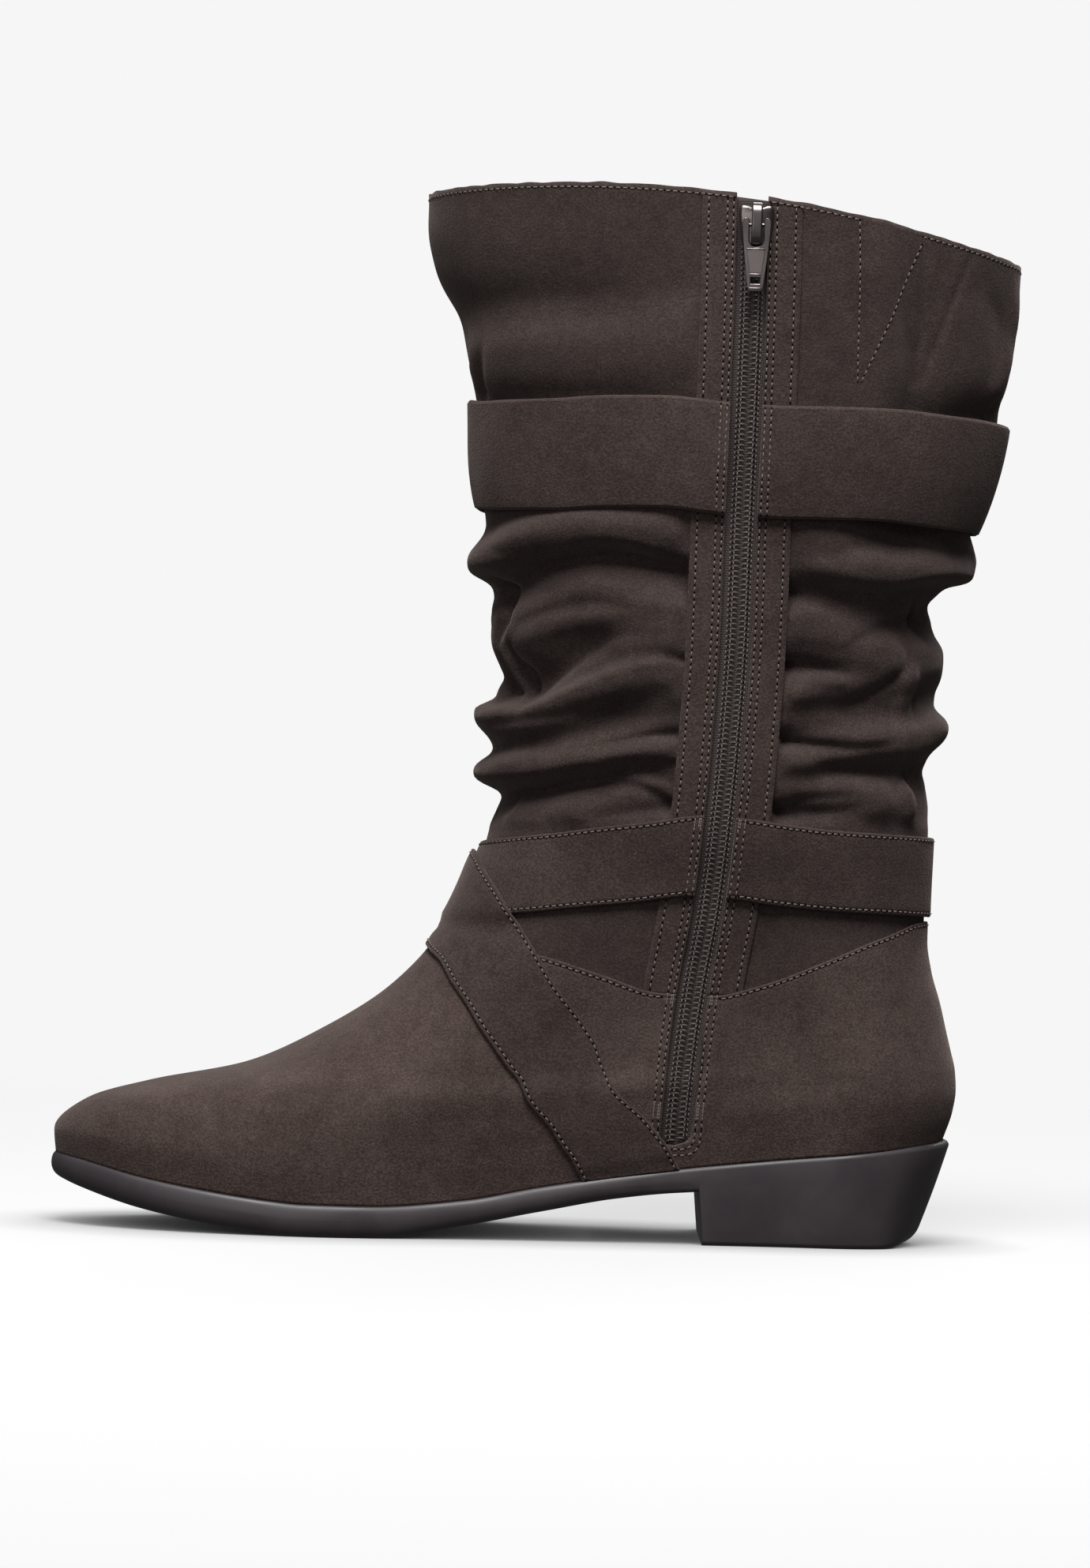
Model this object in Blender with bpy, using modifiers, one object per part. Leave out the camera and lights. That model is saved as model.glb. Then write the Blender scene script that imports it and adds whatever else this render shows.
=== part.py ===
"""Wide calf boot for the right foot: slouched suede shaft, inside zip, three straps and a moulded sole.

Metres, +Z up. The toe points along -X, the heel along +X and the inside of the leg (the zip side) along -Y.
The origin is the middle of the heel's flat bottom face, on the floor.
A place on the upper is told by its girth share (0 at the back line, 1 at the front line) on the inner or the
outer side, and by its height or its row of the upper's grid.
"""

import math

import bmesh
import bpy
import numpy as np
from mathutils import Matrix

MM = 0.001

# Driving dimensions
TOE_REACH = 219.3 * MM
HEEL_REACH = 45.0 * MM
INSTEP_HEIGHT = 108.0 * MM
COLLAR_HEIGHT = 314.0 * MM
BALL_WIDTH = 92.0 * MM
SEAT_WIDTH = 61.0 * MM
SHAFT_FRONT = 117.0 * MM
SHAFT_BACK = 62.0 * MM
SHAFT_WIDTH = 95.0 * MM
TOE_SWING = 7.0 * MM
COLLAR_ARCH = 7.0 * MM
SEAT_HEIGHT = 31.5 * MM
TOE_SPRING = 13.8 * MM
HEEL_BREAST = 27.0 * MM
BREAST_RAKE = 1.6 * MM

WALL = 2.0 * MM
CLEARANCE = 0.3 * MM
FEATHER_GAP = 0.6 * MM
FOOT_COVER_THICKNESS = 1.0 * MM
GUARD_THICKNESS = 0.8 * MM
BAND_WIDTH = 32.0 * MM
BAND_THICKNESS = 2.2 * MM
BAND_PUFF = 1.3 * MM
ANKLE_STRAP_WIDTH = 24.0 * MM
ANKLE_STRAP_THICKNESS = 1.8 * MM
INSTEP_STRAP_WIDTH = 24.0 * MM
INSTEP_STRAP_THICKNESS = 1.8 * MM
INSOLE_THICKNESS = 3.0 * MM
FOLD_HEIGHT = 5.5 * MM

SOLE_MARGIN = 0.8 * MM
SOLE_TOP_ROUND = 0.8 * MM
SOLE_SIDE_ROUND = 1.5 * MM
HEEL_BACK_MARGIN = 1.9 * MM
HEEL_BACK_ROUND = 5.5 * MM
SOLE_TAPER = 0.08
HEEL_BACK_TAPER = 0.33

ZIP_GAP = 9.4 * MM
GUARD_WIDTH = 10.0 * MM
ZIP_FOOT_ROW = 2
COIL_WIDTH = 5.4 * MM
COIL_THICKNESS = 1.8 * MM
COIL_SHIFT = 1.2 * MM
TAPE_THICKNESS = 0.7 * MM

SLIDER_HEIGHT = COLLAR_HEIGHT - 11.5 * MM
SLIDER_WIDTH = 11.0 * MM
SLIDER_LENGTH = 12.5 * MM
SLIDER_PLATE = 1.6 * MM
SLIDER_NECK_WIDTH = 4.0 * MM
CROWN_WIDTH = 3.0 * MM
CROWN_LENGTH = 12.6 * MM
CROWN_BAR = 1.3 * MM
PIN_SIZE = 1.4 * MM
PIN_ROOM = 0.5 * MM
PULL_LENGTH = 23.0 * MM
PULL_FORK_WIDTH = 9.0 * MM
PULL_NECK_WIDTH = 6.0 * MM
PULL_TIP_WIDTH = 4.4 * MM
PULL_THICKNESS = 1.1 * MM
PULL_WINDOW_REACH = 7.8 * MM
PULL_HOLE_PLACE = 19.0 * MM
PULL_HOLE_SIZE = 2.6 * MM

# Grid of the upper: spans in front of the zip, behind it and round the outer side, and rows between the
# lines
FORE_SPANS = 9
BACK_SPANS = 7
OUTER_SPANS = 17
FOOT_ROWS = 10
UNDER_STRAP_ROWS = 1
STRAP_ROWS = 2
SLOUCH_ROWS = 15
BAND_ROWS = 3
TOP_ROWS = 4
SOLE_SPANS = 26
INSTEP_STRAP_SPANS = 16

# The sole from toe tip to heel: share of its length, height of its top edge as a share of SEAT_HEIGHT, and
# height of its bottom as a share of TOE_SPRING. The bottom is flat under the ball. Behind the breast the
# heel reaches the floor.
SOLE_LINE = (
    (0.00, 0.650, 1.00),
    (0.03, 0.610, 0.82),
    (0.10, 0.483, 0.46),
    (0.18, 0.378, 0.20),
    (0.25, 0.308, 0.04),
    (0.28, 0.288, 0.00),
    (0.36, 0.284, 0.00),
    (0.46, 0.356, 0.29),
    (0.55, 0.505, 0.65),
    (0.63, 0.622, 0.96),
    (0.70, 0.705, 1.12),
    (0.80, 0.803, 1.22),
    (0.90, 0.892, 1.25),
    (1.00, 1.000, 1.25),
)

# The foot's girth lines, from the feather edge up to the instep: front x of TOE_REACH, front z as a share of
# the way from the sole's toe to INSTEP_HEIGHT, back x of HEEL_REACH, back z as a share of the way from
# SEAT_HEIGHT to INSTEP_HEIGHT, full widths at ball and waist of BALL_WIDTH and at the seat of SEAT_WIDTH,
# lengths of the round front and back of BALL_WIDTH, share of the feather edge's dip, toe swing share
FOOT_SECTIONS = (
    (1.000, 0.000, 1.000, 0.000, 1.00, 0.80, 1.00, 1.03, 0.37, 1.00, 1.00),
    (1.003, 0.077, 1.062, 0.111, 1.01, 0.82, 1.03, 1.00, 0.37, 0.80, 1.00),
    (0.962, 0.171, 1.080, 0.190, 0.98, 0.83, 1.05, 0.92, 0.38, 0.52, 0.95),
    (0.880, 0.235, 1.070, 0.267, 0.93, 0.83, 1.03, 0.82, 0.39, 0.32, 0.80),
    (0.752, 0.305, 1.036, 0.346, 0.83, 0.79, 1.02, 0.70, 0.41, 0.15, 0.60),
    (0.638, 0.440, 1.000, 0.425, 0.78, 0.77, 0.99, 0.65, 0.43, 0.05, 0.40),
    (0.556, 0.577, 0.955, 0.530, 0.77, 0.76, 0.97, 0.60, 0.46, 0.00, 0.20),
    (0.502, 0.720, 0.890, 0.660, 0.77, 0.76, 0.97, 0.55, 0.49, 0.00, 0.10),
    (0.469, 0.852, 0.858, 0.791, 0.78, 0.78, 0.99, 0.52, 0.53, 0.00, 0.00),
    (0.444, 1.000, 0.862, 0.973, 0.79, 0.80, 1.04, 0.52, 0.57, 0.00, 0.00),
)

# The shaft's girth lines, from above the instep to the collar: front x of SHAFT_FRONT, front z of
# COLLAR_HEIGHT, back x of SHAFT_BACK, back z of COLLAR_HEIGHT, full widths at front, middle and back and
# lengths of the round front and back of SHAFT_WIDTH, share of the collar's arch
SHAFT_SECTIONS = (
    (0.799, 0.385, 0.629, 0.382, 0.79, 0.81, 0.71, 0.53, 0.58, 0.00),
    (0.797, 0.462, 0.637, 0.452, 0.80, 0.83, 0.74, 0.55, 0.61, 0.00),
    (0.797, 0.541, 0.650, 0.529, 0.81, 0.84, 0.76, 0.57, 0.63, 0.00),
    (0.811, 0.621, 0.680, 0.608, 0.82, 0.86, 0.78, 0.58, 0.63, 0.05),
    (0.838, 0.694, 0.787, 0.682, 0.84, 0.88, 0.81, 0.59, 0.63, 0.15),
    (0.859, 0.780, 0.887, 0.758, 0.88, 0.92, 0.84, 0.61, 0.65, 0.35),
    (0.902, 0.854, 0.960, 0.822, 0.92, 0.96, 0.87, 0.63, 0.66, 0.60),
    (0.954, 0.924, 0.990, 0.879, 0.94, 0.98, 0.90, 0.65, 0.67, 0.80),
    (1.000, 1.000, 1.000, 0.942, 0.96, 1.00, 0.92, 0.67, 0.67, 1.00),
)

# Places along the foot, from toe to heel, at which the three widths hold
WIDTH_PLACES = (0.28, 0.55, 0.85)

# The foot's centre line from toe to heel: share of its length and of TOE_SWING, towards the outer side
CENTRE_LINE = ((0.0, -1.0), (0.15, -0.5), (0.3, 0.0), (0.43, 0.27), (0.62, 0.15), (1.0, 0.0))

# Lines round the upper by girth share: the foot cover's top edge and the middles of the ankle strap and of
# the band, as shares of COLLAR_HEIGHT
GIRTH_LINES = (
    (0.00, 0.307, 0.353, 0.730),
    (0.09, 0.306, 0.354, 0.733),
    (0.21, 0.292, 0.356, 0.739),
    (0.31, 0.271, 0.358, 0.743),
    (0.39, 0.249, 0.362, 0.742),
    (0.45, 0.237, 0.367, 0.741),
    (0.51, 0.238, 0.369, 0.743),
    (0.59, 0.253, 0.361, 0.748),
    (0.67, 0.267, 0.354, 0.747),
    (0.75, 0.276, 0.347, 0.744),
    (0.87, 0.282, 0.340, 0.741),
    (1.00, 0.284, 0.335, 0.737),
)

# Middle of the zip from its foot up: height as a share of COLLAR_HEIGHT, distance in front of the heel's
# middle as a share of SHAFT_FRONT
ZIP_LINE = (
    (0.00, 0.310),
    (0.11, 0.300),
    (0.17, 0.288),
    (0.24, 0.268),
    (0.32, 0.235),
    (0.39, 0.216),
    (0.47, 0.200),
    (0.58, 0.187),
    (0.69, 0.184),
    (0.80, 0.180),
    (0.88, 0.179),
    (1.05, 0.182),
)

# The slouch's soft folds: side (-1 inner, 1 outer), girth share and height at start, middle and end, how
# far each stands out at those places as shares of FOLD_HEIGHT (negative for a trough), and half width.
# Heights and widths are shares of COLLAR_HEIGHT.
FOLDS = (
    (-1, 0.53, 0.624, 0.68, 0.655, 0.90, 0.617, -0.8, -0.8, -0.5, 0.017),
    (-1, 0.53, 0.660, 0.74, 0.682, 1.00, 0.641, 0.3, 0.9, 1.1, 0.026),
    (-1, 0.55, 0.590, 0.70, 0.583, 0.88, 0.510, -0.3, -0.7, -0.9, 0.022),
    (-1, 0.53, 0.548, 0.70, 0.535, 1.00, 0.500, 0.5, 0.9, 1.1, 0.020),
    (-1, 0.88, 0.545, 0.94, 0.535, 1.00, 0.533, -0.5, -0.8, -0.8, 0.016),
    (-1, 0.54, 0.520, 0.68, 0.490, 0.86, 0.472, -0.5, -0.6, -0.2, 0.015),
    (-1, 0.53, 0.478, 0.72, 0.458, 1.00, 0.440, 0.4, 0.7, 0.9, 0.018),
    (-1, 0.54, 0.450, 0.74, 0.430, 1.00, 0.424, -0.5, -0.7, -0.6, 0.014),
    (-1, 0.40, 0.620, 0.26, 0.632, 0.00, 0.655, 0.5, 0.9, 1.2, 0.022),
    (-1, 0.36, 0.672, 0.24, 0.690, 0.08, 0.676, -0.5, -0.9, -0.2, 0.016),
    (-1, 0.36, 0.590, 0.22, 0.600, 0.00, 0.612, -0.6, -0.8, -0.9, 0.017),
    (-1, 0.40, 0.552, 0.28, 0.560, 0.10, 0.560, 0.4, 0.4, 0.3, 0.018),
    (-1, 0.38, 0.522, 0.26, 0.522, 0.14, 0.508, -0.5, -0.6, -0.2, 0.017),
    (-1, 0.41, 0.474, 0.24, 0.482, 0.00, 0.496, 0.5, 0.7, 0.8, 0.018),
    (-1, 0.40, 0.444, 0.24, 0.456, 0.06, 0.450, -0.4, -0.7, -0.5, 0.015),
    (1, 1.00, 0.641, 0.72, 0.670, 0.44, 0.650, 1.1, 0.8, 0.3, 0.026),
    (1, 1.00, 0.533, 0.90, 0.548, 0.66, 0.590, -0.8, -0.9, -0.5, 0.018),
    (1, 1.00, 0.500, 0.70, 0.510, 0.46, 0.560, 1.1, 0.8, 0.3, 0.020),
    (1, 1.00, 0.440, 0.72, 0.455, 0.48, 0.490, 0.9, 0.6, 0.4, 0.018),
    (1, 1.00, 0.424, 0.74, 0.424, 0.50, 0.450, -0.6, -0.6, -0.3, 0.014),
    (1, 0.00, 0.655, 0.26, 0.640, 0.52, 0.612, 1.2, 0.8, 0.3, 0.022),
    (1, 0.00, 0.612, 0.22, 0.595, 0.50, 0.580, -0.9, -0.7, -0.3, 0.017),
    (1, 0.05, 0.560, 0.24, 0.545, 0.48, 0.525, 0.3, 0.6, 0.3, 0.020),
    (1, 0.00, 0.496, 0.26, 0.484, 0.52, 0.520, 0.8, 0.6, 0.3, 0.018),
    (1, 0.04, 0.450, 0.24, 0.452, 0.50, 0.470, -0.5, -0.7, -0.3, 0.015),
)

# Heights over which the folds fade out under the ankle strap and under the band, as shares of COLLAR_HEIGHT
FOLD_FOOT = (0.385, 0.425)
FOLD_TOP = (0.660, 0.700)

# The instep strap's middle, from the front of the instep down to the sole: share of the way up and girth
# share, the same on both sides
INSTEP_STRAP_LINE = (
    (0.4630, 1.0000),
    (0.4280, 0.8516),
    (0.3714, 0.7491),
    (0.3049, 0.6455),
    (0.2187, 0.5309),
    (0.0945, 0.4416),
    (0.0365, 0.4171),
)

# Shares of the instep strap's way down over which it comes off the ankle strap and lies on the foot cover
OFF_ANKLE_STRAP = (0.34, 0.62)

COLLECTION = "wide_calf_boot"
SUEDE = ((0.055, 0.047, 0.043), 0.92, 0.0)
SOLE_BLACK = ((0.012, 0.012, 0.013), 0.42, 0.0)
LINING = ((0.030, 0.027, 0.026), 0.9, 0.0)
TAPE_BLACK = ((0.020, 0.019, 0.019), 0.85, 0.0)
GUNMETAL = ((0.16, 0.15, 0.15), 0.32, 1.0)


def through(places, values, at):
    """Reads a smooth curve through values at rising places, with no overshoot between them."""
    places = np.asarray(places, float)
    values = np.asarray(values, float)
    at = np.asarray(at, float)
    step = np.diff(places)
    slope = np.diff(values) / step
    tangent = np.zeros(len(values))
    tangent[0] = slope[0]
    tangent[-1] = slope[-1]
    for k in range(1, len(values) - 1):
        if slope[k - 1] * slope[k] > 0:
            tangent[k] = 2 * slope[k - 1] * slope[k] / (slope[k - 1] + slope[k])
    k = np.clip(np.searchsorted(places, at) - 1, 0, len(step) - 1)
    f = np.clip((at - places[k]) / step[k], 0, 1)
    start = (1 + 2 * f) * (1 - f) ** 2 * values[k] + f * (1 - f) ** 2 * step[k] * tangent[k]
    return start + f**2 * (3 - 2 * f) * values[k + 1] + f**2 * (f - 1) * step[k] * tangent[k + 1]


def ease(low, high, at):
    """Rises smoothly from 0 at low to 1 at high."""
    f = np.clip((at - low) / (high - low), 0, 1)
    return f * f * (3 - 2 * f)


def section_columns():
    """The girth lines in metres: front x, z, back x, z, three widths, two rounds and three shares."""
    foot = np.array(FOOT_SECTIONS)
    shaft = np.array(SHAFT_SECTIONS)
    toe_height = SOLE_LINE[0][1] * SEAT_HEIGHT
    foot_sizes = (TOE_REACH, INSTEP_HEIGHT - toe_height, HEEL_REACH, INSTEP_HEIGHT - SEAT_HEIGHT)
    foot_sizes += (BALL_WIDTH, BALL_WIDTH, SEAT_WIDTH, BALL_WIDTH, BALL_WIDTH)
    foot_starts = (0, toe_height, 0, SEAT_HEIGHT) + 5 * (0,)
    shaft_sizes = (SHAFT_FRONT, COLLAR_HEIGHT, SHAFT_BACK, COLLAR_HEIGHT) + 5 * (SHAFT_WIDTH,)
    sizes = np.vstack([foot[:, :9] * foot_sizes + foot_starts, shaft[:, :9] * shaft_sizes])
    none_in_shaft = np.zeros(len(shaft))
    dip = np.concatenate([foot[:, 9], none_in_shaft])
    swing = np.concatenate([foot[:, 10], none_in_shaft])
    arch = np.concatenate([np.zeros(len(foot)), shaft[:, 9]])
    return np.column_stack([sizes, dip, swing, arch])


SECTIONS = section_columns()
SECTION_PLACES = np.linspace(0, 1, len(SECTIONS))


def sole_top(along):
    """Height of the sole's top edge at a share of its length from the toe."""
    line = np.array(SOLE_LINE)
    return through(line[:, 0], line[:, 1] * SEAT_HEIGHT, along)


def sole_bottom(along):
    """Height of the sole's underside, without the heel."""
    line = np.array(SOLE_LINE)
    return through(line[:, 0], line[:, 2] * TOE_SPRING, along)


def base_point(up, girth, side):
    """A place on the upper without folds. up runs from 0 at the feather edge to 1 at the collar."""
    up, girth = np.broadcast_arrays(np.asarray(up, float), np.asarray(girth, float))
    columns = [through(SECTION_PLACES, SECTIONS[:, k], up) for k in range(SECTIONS.shape[1])]
    front_x, front_z, back_x, back_z, ball, waist, seat, front_round, back_round, dip, swing, arch = columns
    along = (1 + np.cos(math.pi * girth)) / 2
    depth = front_x + back_x
    x = -front_x + along * depth
    straight = sole_top(0.0) + along * (sole_top(1.0) - sole_top(0.0))
    z = front_z + along * (back_z - front_z) + dip * (sole_top(along) - straight) + FEATHER_GAP
    z = z + arch * COLLAR_ARCH * np.sin(math.pi * along)
    low, middle, high = WIDTH_PLACES
    fore = ease(low, middle, along)
    rear = ease(middle, high, along)
    width = ball + (waist - ball) * fore + (seat - waist) * rear
    front_reach = np.clip(1 - along * depth / front_round, 0, 1)
    back_reach = np.clip(1 - (1 - along) * depth / back_round, 0, 1)
    half = width / 2 * np.sqrt(1 - front_reach**2) * np.sqrt(1 - back_reach**2)
    line = np.array(CENTRE_LINE)
    centre = swing * TOE_SWING * through(line[:, 0], line[:, 1], along)
    return np.stack([x, centre + side * half, z], axis=-1)


def fold_rise(girth, height, side):
    """How far the slouch's folds push the upper out at a place."""
    rise = np.zeros(np.broadcast(girth, height).shape)
    girth_length = (SHAFT_FRONT + SHAFT_WIDTH) * 0.8
    for fold in FOLDS:
        fold_side, g0, z0, g1, z1, g2, z2, h0, h1, h2, half_width = fold
        if fold_side != side:
            continue
        nearest = np.full(rise.shape, np.inf)
        stands = np.zeros(rise.shape)
        for f in np.linspace(0, 1, 13):
            a, b, c = (1 - f) * (1 - 2 * f), 4 * f * (1 - f), f * (2 * f - 1)
            place = (a * g0 + b * g1 + c * g2) * girth_length
            level = (a * z0 + b * z1 + c * z2) * COLLAR_HEIGHT
            away = ((girth * girth_length - place) * 0.6) ** 2 + (height - level) ** 2
            stands = np.where(away < nearest, a * h0 + b * h1 + c * h2, stands)
            nearest = np.minimum(nearest, away)
        rise += FOLD_HEIGHT * stands * np.exp(-nearest / (half_width * COLLAR_HEIGHT) ** 2)
    low = ease(FOLD_FOOT[0] * COLLAR_HEIGHT, FOLD_FOOT[1] * COLLAR_HEIGHT, height)
    high = 1 - ease(FOLD_TOP[0] * COLLAR_HEIGHT, FOLD_TOP[1] * COLLAR_HEIGHT, height)
    return rise * low * high


FINE_STEPS = np.linspace(0, 1, 241)
FINE_POINTS = {side: base_point(FINE_STEPS[:, None], FINE_STEPS[None, :], side) for side in (-1, 1)}


def up_at(girth, side, height):
    """The share of the way up at which the upper has a height, for one girth share."""
    place = np.clip(girth, 0, 1) * (len(FINE_STEPS) - 1)
    before = min(int(place), len(FINE_STEPS) - 2)
    heights = FINE_POINTS[side][:, before : before + 2, 2] @ np.array([before + 1 - place, place - before])
    return float(np.interp(height, heights, FINE_STEPS))


def girth_at(up, side, x):
    """The girth share at which a girth line passes an x, on one side."""
    place = np.clip(up, 0, 1) * (len(FINE_STEPS) - 1)
    before = min(int(place), len(FINE_STEPS) - 2)
    reaches = np.array([before + 1 - place, place - before]) @ FINE_POINTS[side][before : before + 2, :, 0]
    return float(np.interp(-x, -reaches, FINE_STEPS))


def zip_x(height):
    """The x of the zip's middle at a height."""
    line = np.array(ZIP_LINE)
    return -float(through(line[:, 0] * COLLAR_HEIGHT, line[:, 1] * SHAFT_FRONT, height))


def line_heights(girth):
    """Heights, at a girth share, of the lines that part the upper's grid, from below up."""
    lines = np.array(GIRTH_LINES)
    cover = float(through(lines[:, 0], lines[:, 1], girth)) * COLLAR_HEIGHT
    strap = float(through(lines[:, 0], lines[:, 2], girth)) * COLLAR_HEIGHT
    band = float(through(lines[:, 0], lines[:, 3], girth)) * COLLAR_HEIGHT
    strap_low = strap - ANKLE_STRAP_WIDTH / 2
    cover = min(cover, strap_low - 2 * MM)
    return [
        cover,
        strap_low,
        strap + ANKLE_STRAP_WIDTH / 2,
        band - BAND_WIDTH / 2,
        band + BAND_WIDTH / 2,
    ]


def row_ups(girth, side):
    """The share of the way up of every row of the grid, at one girth share."""
    marks = [0.0] + [up_at(girth, side, height) for height in line_heights(girth)] + [1.0]
    counts = (FOOT_ROWS, UNDER_STRAP_ROWS, STRAP_ROWS, SLOUCH_ROWS, BAND_ROWS, TOP_ROWS)
    ups = [0.0]
    for low, high, count in zip(marks, marks[1:], counts):
        ups += [low + (high - low) * (k + 1) / count for k in range(count)]
    return ups


COVER_TOP = FOOT_ROWS
STRAP_LOW = COVER_TOP + UNDER_STRAP_ROWS
STRAP_HIGH = STRAP_LOW + STRAP_ROWS
BAND_LOW = STRAP_HIGH + SLOUCH_ROWS
BAND_HIGH = BAND_LOW + BAND_ROWS
COLLAR = BAND_HIGH + TOP_ROWS
GUARD_FRONT = FORE_SPANS
SLOT_FRONT = FORE_SPANS + 1
SLOT_BACK = FORE_SPANS + 2
GUARD_BACK = FORE_SPANS + 3


def girth_columns(row_up):
    """Side and girth share of each column along one row, from the front round the inner side and back."""
    middle_column = len(FINE_STEPS) // 2
    middle = zip_x(np.interp(row_up, FINE_STEPS, FINE_POINTS[-1][:, middle_column, 2]))
    edges = (-ZIP_GAP / 2 - GUARD_WIDTH, -ZIP_GAP / 2, ZIP_GAP / 2, ZIP_GAP / 2 + GUARD_WIDTH)
    guard_front, slot_front, slot_back, guard_back = [girth_at(row_up, -1, middle + edge) for edge in edges]
    inner = [1 + (guard_front - 1) * k / FORE_SPANS for k in range(FORE_SPANS + 1)]
    inner += [slot_front, slot_back]
    inner += [guard_back * (1 - k / BACK_SPANS) for k in range(BACK_SPANS + 1)]
    outer = [k / OUTER_SPANS for k in range(1, OUTER_SPANS)]
    return [(-1, girth) for girth in inner] + [(1, girth) for girth in outer]


def outward(up, girth, side):
    """The direction out of the upper without folds."""
    step = 0.004
    below = base_point(np.maximum(up - step, 0), girth, side)
    above = base_point(np.minimum(up + step, 1), girth, side)
    fore = base_point(up, np.minimum(girth + step, 1), side)
    aft = base_point(up, np.maximum(girth - step, 0), side)
    normal = np.cross(aft - fore, above - below) * -side
    return normal / np.linalg.norm(normal, axis=-1, keepdims=True)


def upper_grid():
    """Points of the upper's outer face, rows by columns, and the directions out of it."""
    columns = girth_columns(0.5)
    points = np.zeros((COLLAR + 1, len(columns), 3))
    for column, (side, girth) in enumerate(columns):
        ups = row_ups(girth, side)
        for _ in range(3):
            girths = [girth_columns(up)[column][1] for up in ups]
            ups = [row_ups(g, side)[row] for row, g in enumerate(girths)]
        ups, girths = np.array(ups), np.array(girths)
        plain = base_point(ups, girths, side)
        rise = fold_rise(girths, plain[:, 2], side)
        points[:, column] = plain + outward(ups, girths, side) * rise[:, None]
    along = np.roll(points, -1, axis=1) - np.roll(points, 1, axis=1)
    upward = np.gradient(points, axis=0)
    out = np.cross(along, upward)
    out /= np.linalg.norm(out, axis=2, keepdims=True)
    return points, out


def material(name, look):
    """A plain material from a base colour, a roughness and a metallic value."""
    colour, roughness, metallic = look
    made = bpy.data.materials.new(name)
    made.use_nodes = True
    shader = made.node_tree.nodes["Principled BSDF"]
    shader.inputs["Base Color"].default_value = (*colour, 1.0)
    shader.inputs["Roughness"].default_value = roughness
    shader.inputs["Metallic"].default_value = metallic
    return made


def new_object(name, mesh, look, smooth_angle=40):
    """Puts a mesh in the boot's collection with its own material, smooth but for its sharp edges."""
    piece = bpy.data.objects.new(name, mesh)
    bpy.data.collections[COLLECTION].objects.link(piece)
    mesh.materials.append(material(name, look))
    mesh.shade_smooth()
    mesh.set_sharp_from_angle(angle=math.radians(smooth_angle))
    return piece


def surface_mesh(name, points, closed, left_out=()):
    """An open surface through a grid of points, with the listed (row, column) faces left out."""
    rows, columns = points.shape[:2]
    shape = bmesh.new()
    verts = [[shape.verts.new(points[row, column]) for column in range(columns)] for row in range(rows)]
    for row in range(rows - 1):
        for column in range(columns if closed else columns - 1):
            if (row, column) in left_out:
                continue
            after = (column + 1) % columns
            low, high = verts[row], verts[row + 1]
            shape.faces.new((low[column], low[after], high[after], high[column]))
    mesh = bpy.data.meshes.new(name)
    shape.to_mesh(mesh)
    shape.free()
    return mesh


def shell(name, points, thickness, look, closed=False, left_out=(), outside=True):
    """A shell of a real thickness on an open surface, on its outside or on its inside."""
    piece = new_object(name, surface_mesh(name, points, closed, left_out), look)
    solid = piece.modifiers.new("wall", "SOLIDIFY")
    solid.thickness = thickness
    solid.offset = 1 if outside else -1
    return piece


def lifted(points, out, lift):
    """Points moved out of the upper by a distance, or by one distance for each row."""
    return points + out * np.asarray(lift, float).reshape(-1, 1, 1)


def make_upper(points, out):
    """The hollow upper: one wall, open at the collar, underneath and along the zip."""
    slot = {(row, SLOT_FRONT) for row in range(ZIP_FOOT_ROW, COLLAR)}
    shell("upper", points, WALL, SUEDE, closed=True, left_out=slot, outside=False)


def make_foot_cover(points, out):
    """The vamp and quarters, one cover over the upper's foot, open along the zip."""
    slot = {(row, SLOT_FRONT) for row in range(ZIP_FOOT_ROW, COVER_TOP)}
    rows = slice(0, COVER_TOP + 1)
    cover = lifted(points[rows], out[rows], CLEARANCE)
    shell("foot_cover", cover, FOOT_COVER_THICKNESS, SUEDE, closed=True, left_out=slot)


def make_zip_guards(points, out):
    """The two narrow strips sewn along the zip, from the foot cover up to the collar."""
    rows = slice(COVER_TOP, COLLAR + 1)
    lift = np.full(COLLAR + 1 - COVER_TOP, CLEARANCE)
    lift[0] = 2 * CLEARANCE + FOOT_COVER_THICKNESS
    for name, first in (("zip_guard_front", GUARD_FRONT), ("zip_guard_back", SLOT_BACK)):
        strip = slice(first, first + 2)
        shell(name, lifted(points[rows, strip], out[rows, strip], lift), GUARD_THICKNESS, SUEDE)


def round_the_outside(grid):
    """The grid's columns from the zip's back edge round the outer side to its front edge."""
    return np.concatenate([grid[:, SLOT_BACK:], grid[:, : SLOT_FRONT + 1]], axis=1)


def make_straps(points, out):
    """The wide band and the ankle strap, carried round the boot from one edge of the zip to the other."""
    lift = 2 * CLEARANCE + GUARD_THICKNESS
    rows = slice(BAND_LOW, BAND_HIGH + 1)
    puffs = BAND_PUFF * np.sin(np.linspace(0, math.pi, BAND_ROWS + 1))
    band = lifted(round_the_outside(points[rows]), round_the_outside(out[rows]), lift + puffs)
    shell("upper_band", band, BAND_THICKNESS, SUEDE)
    rows = slice(STRAP_LOW, STRAP_HIGH + 1)
    strap = lifted(round_the_outside(points[rows]), round_the_outside(out[rows]), lift)
    shell("ankle_strap", strap, ANKLE_STRAP_THICKNESS, SUEDE)


def across_front(up, place):
    """A place by its girth share measured from the front line, negative on the inner side."""
    side = -1 if place < 0 else 1
    return base_point(up, 1 - abs(place), side), outward(up, 1 - abs(place), side)


def moved_on_surface(up, place, step):
    """The share up and the place from the front line, after a small step along the upper's surface."""
    small = 0.002
    here = across_front(up, place)[0]
    by_up = (across_front(up + small, place)[0] - here) / small
    by_place = (across_front(up, place + small)[0] - here) / small
    moved = np.linalg.lstsq(np.column_stack([by_up, by_place]), step, rcond=None)[0]
    return min(max(up + float(moved[0]), 0.0), 1.0), place + float(moved[1])


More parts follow.
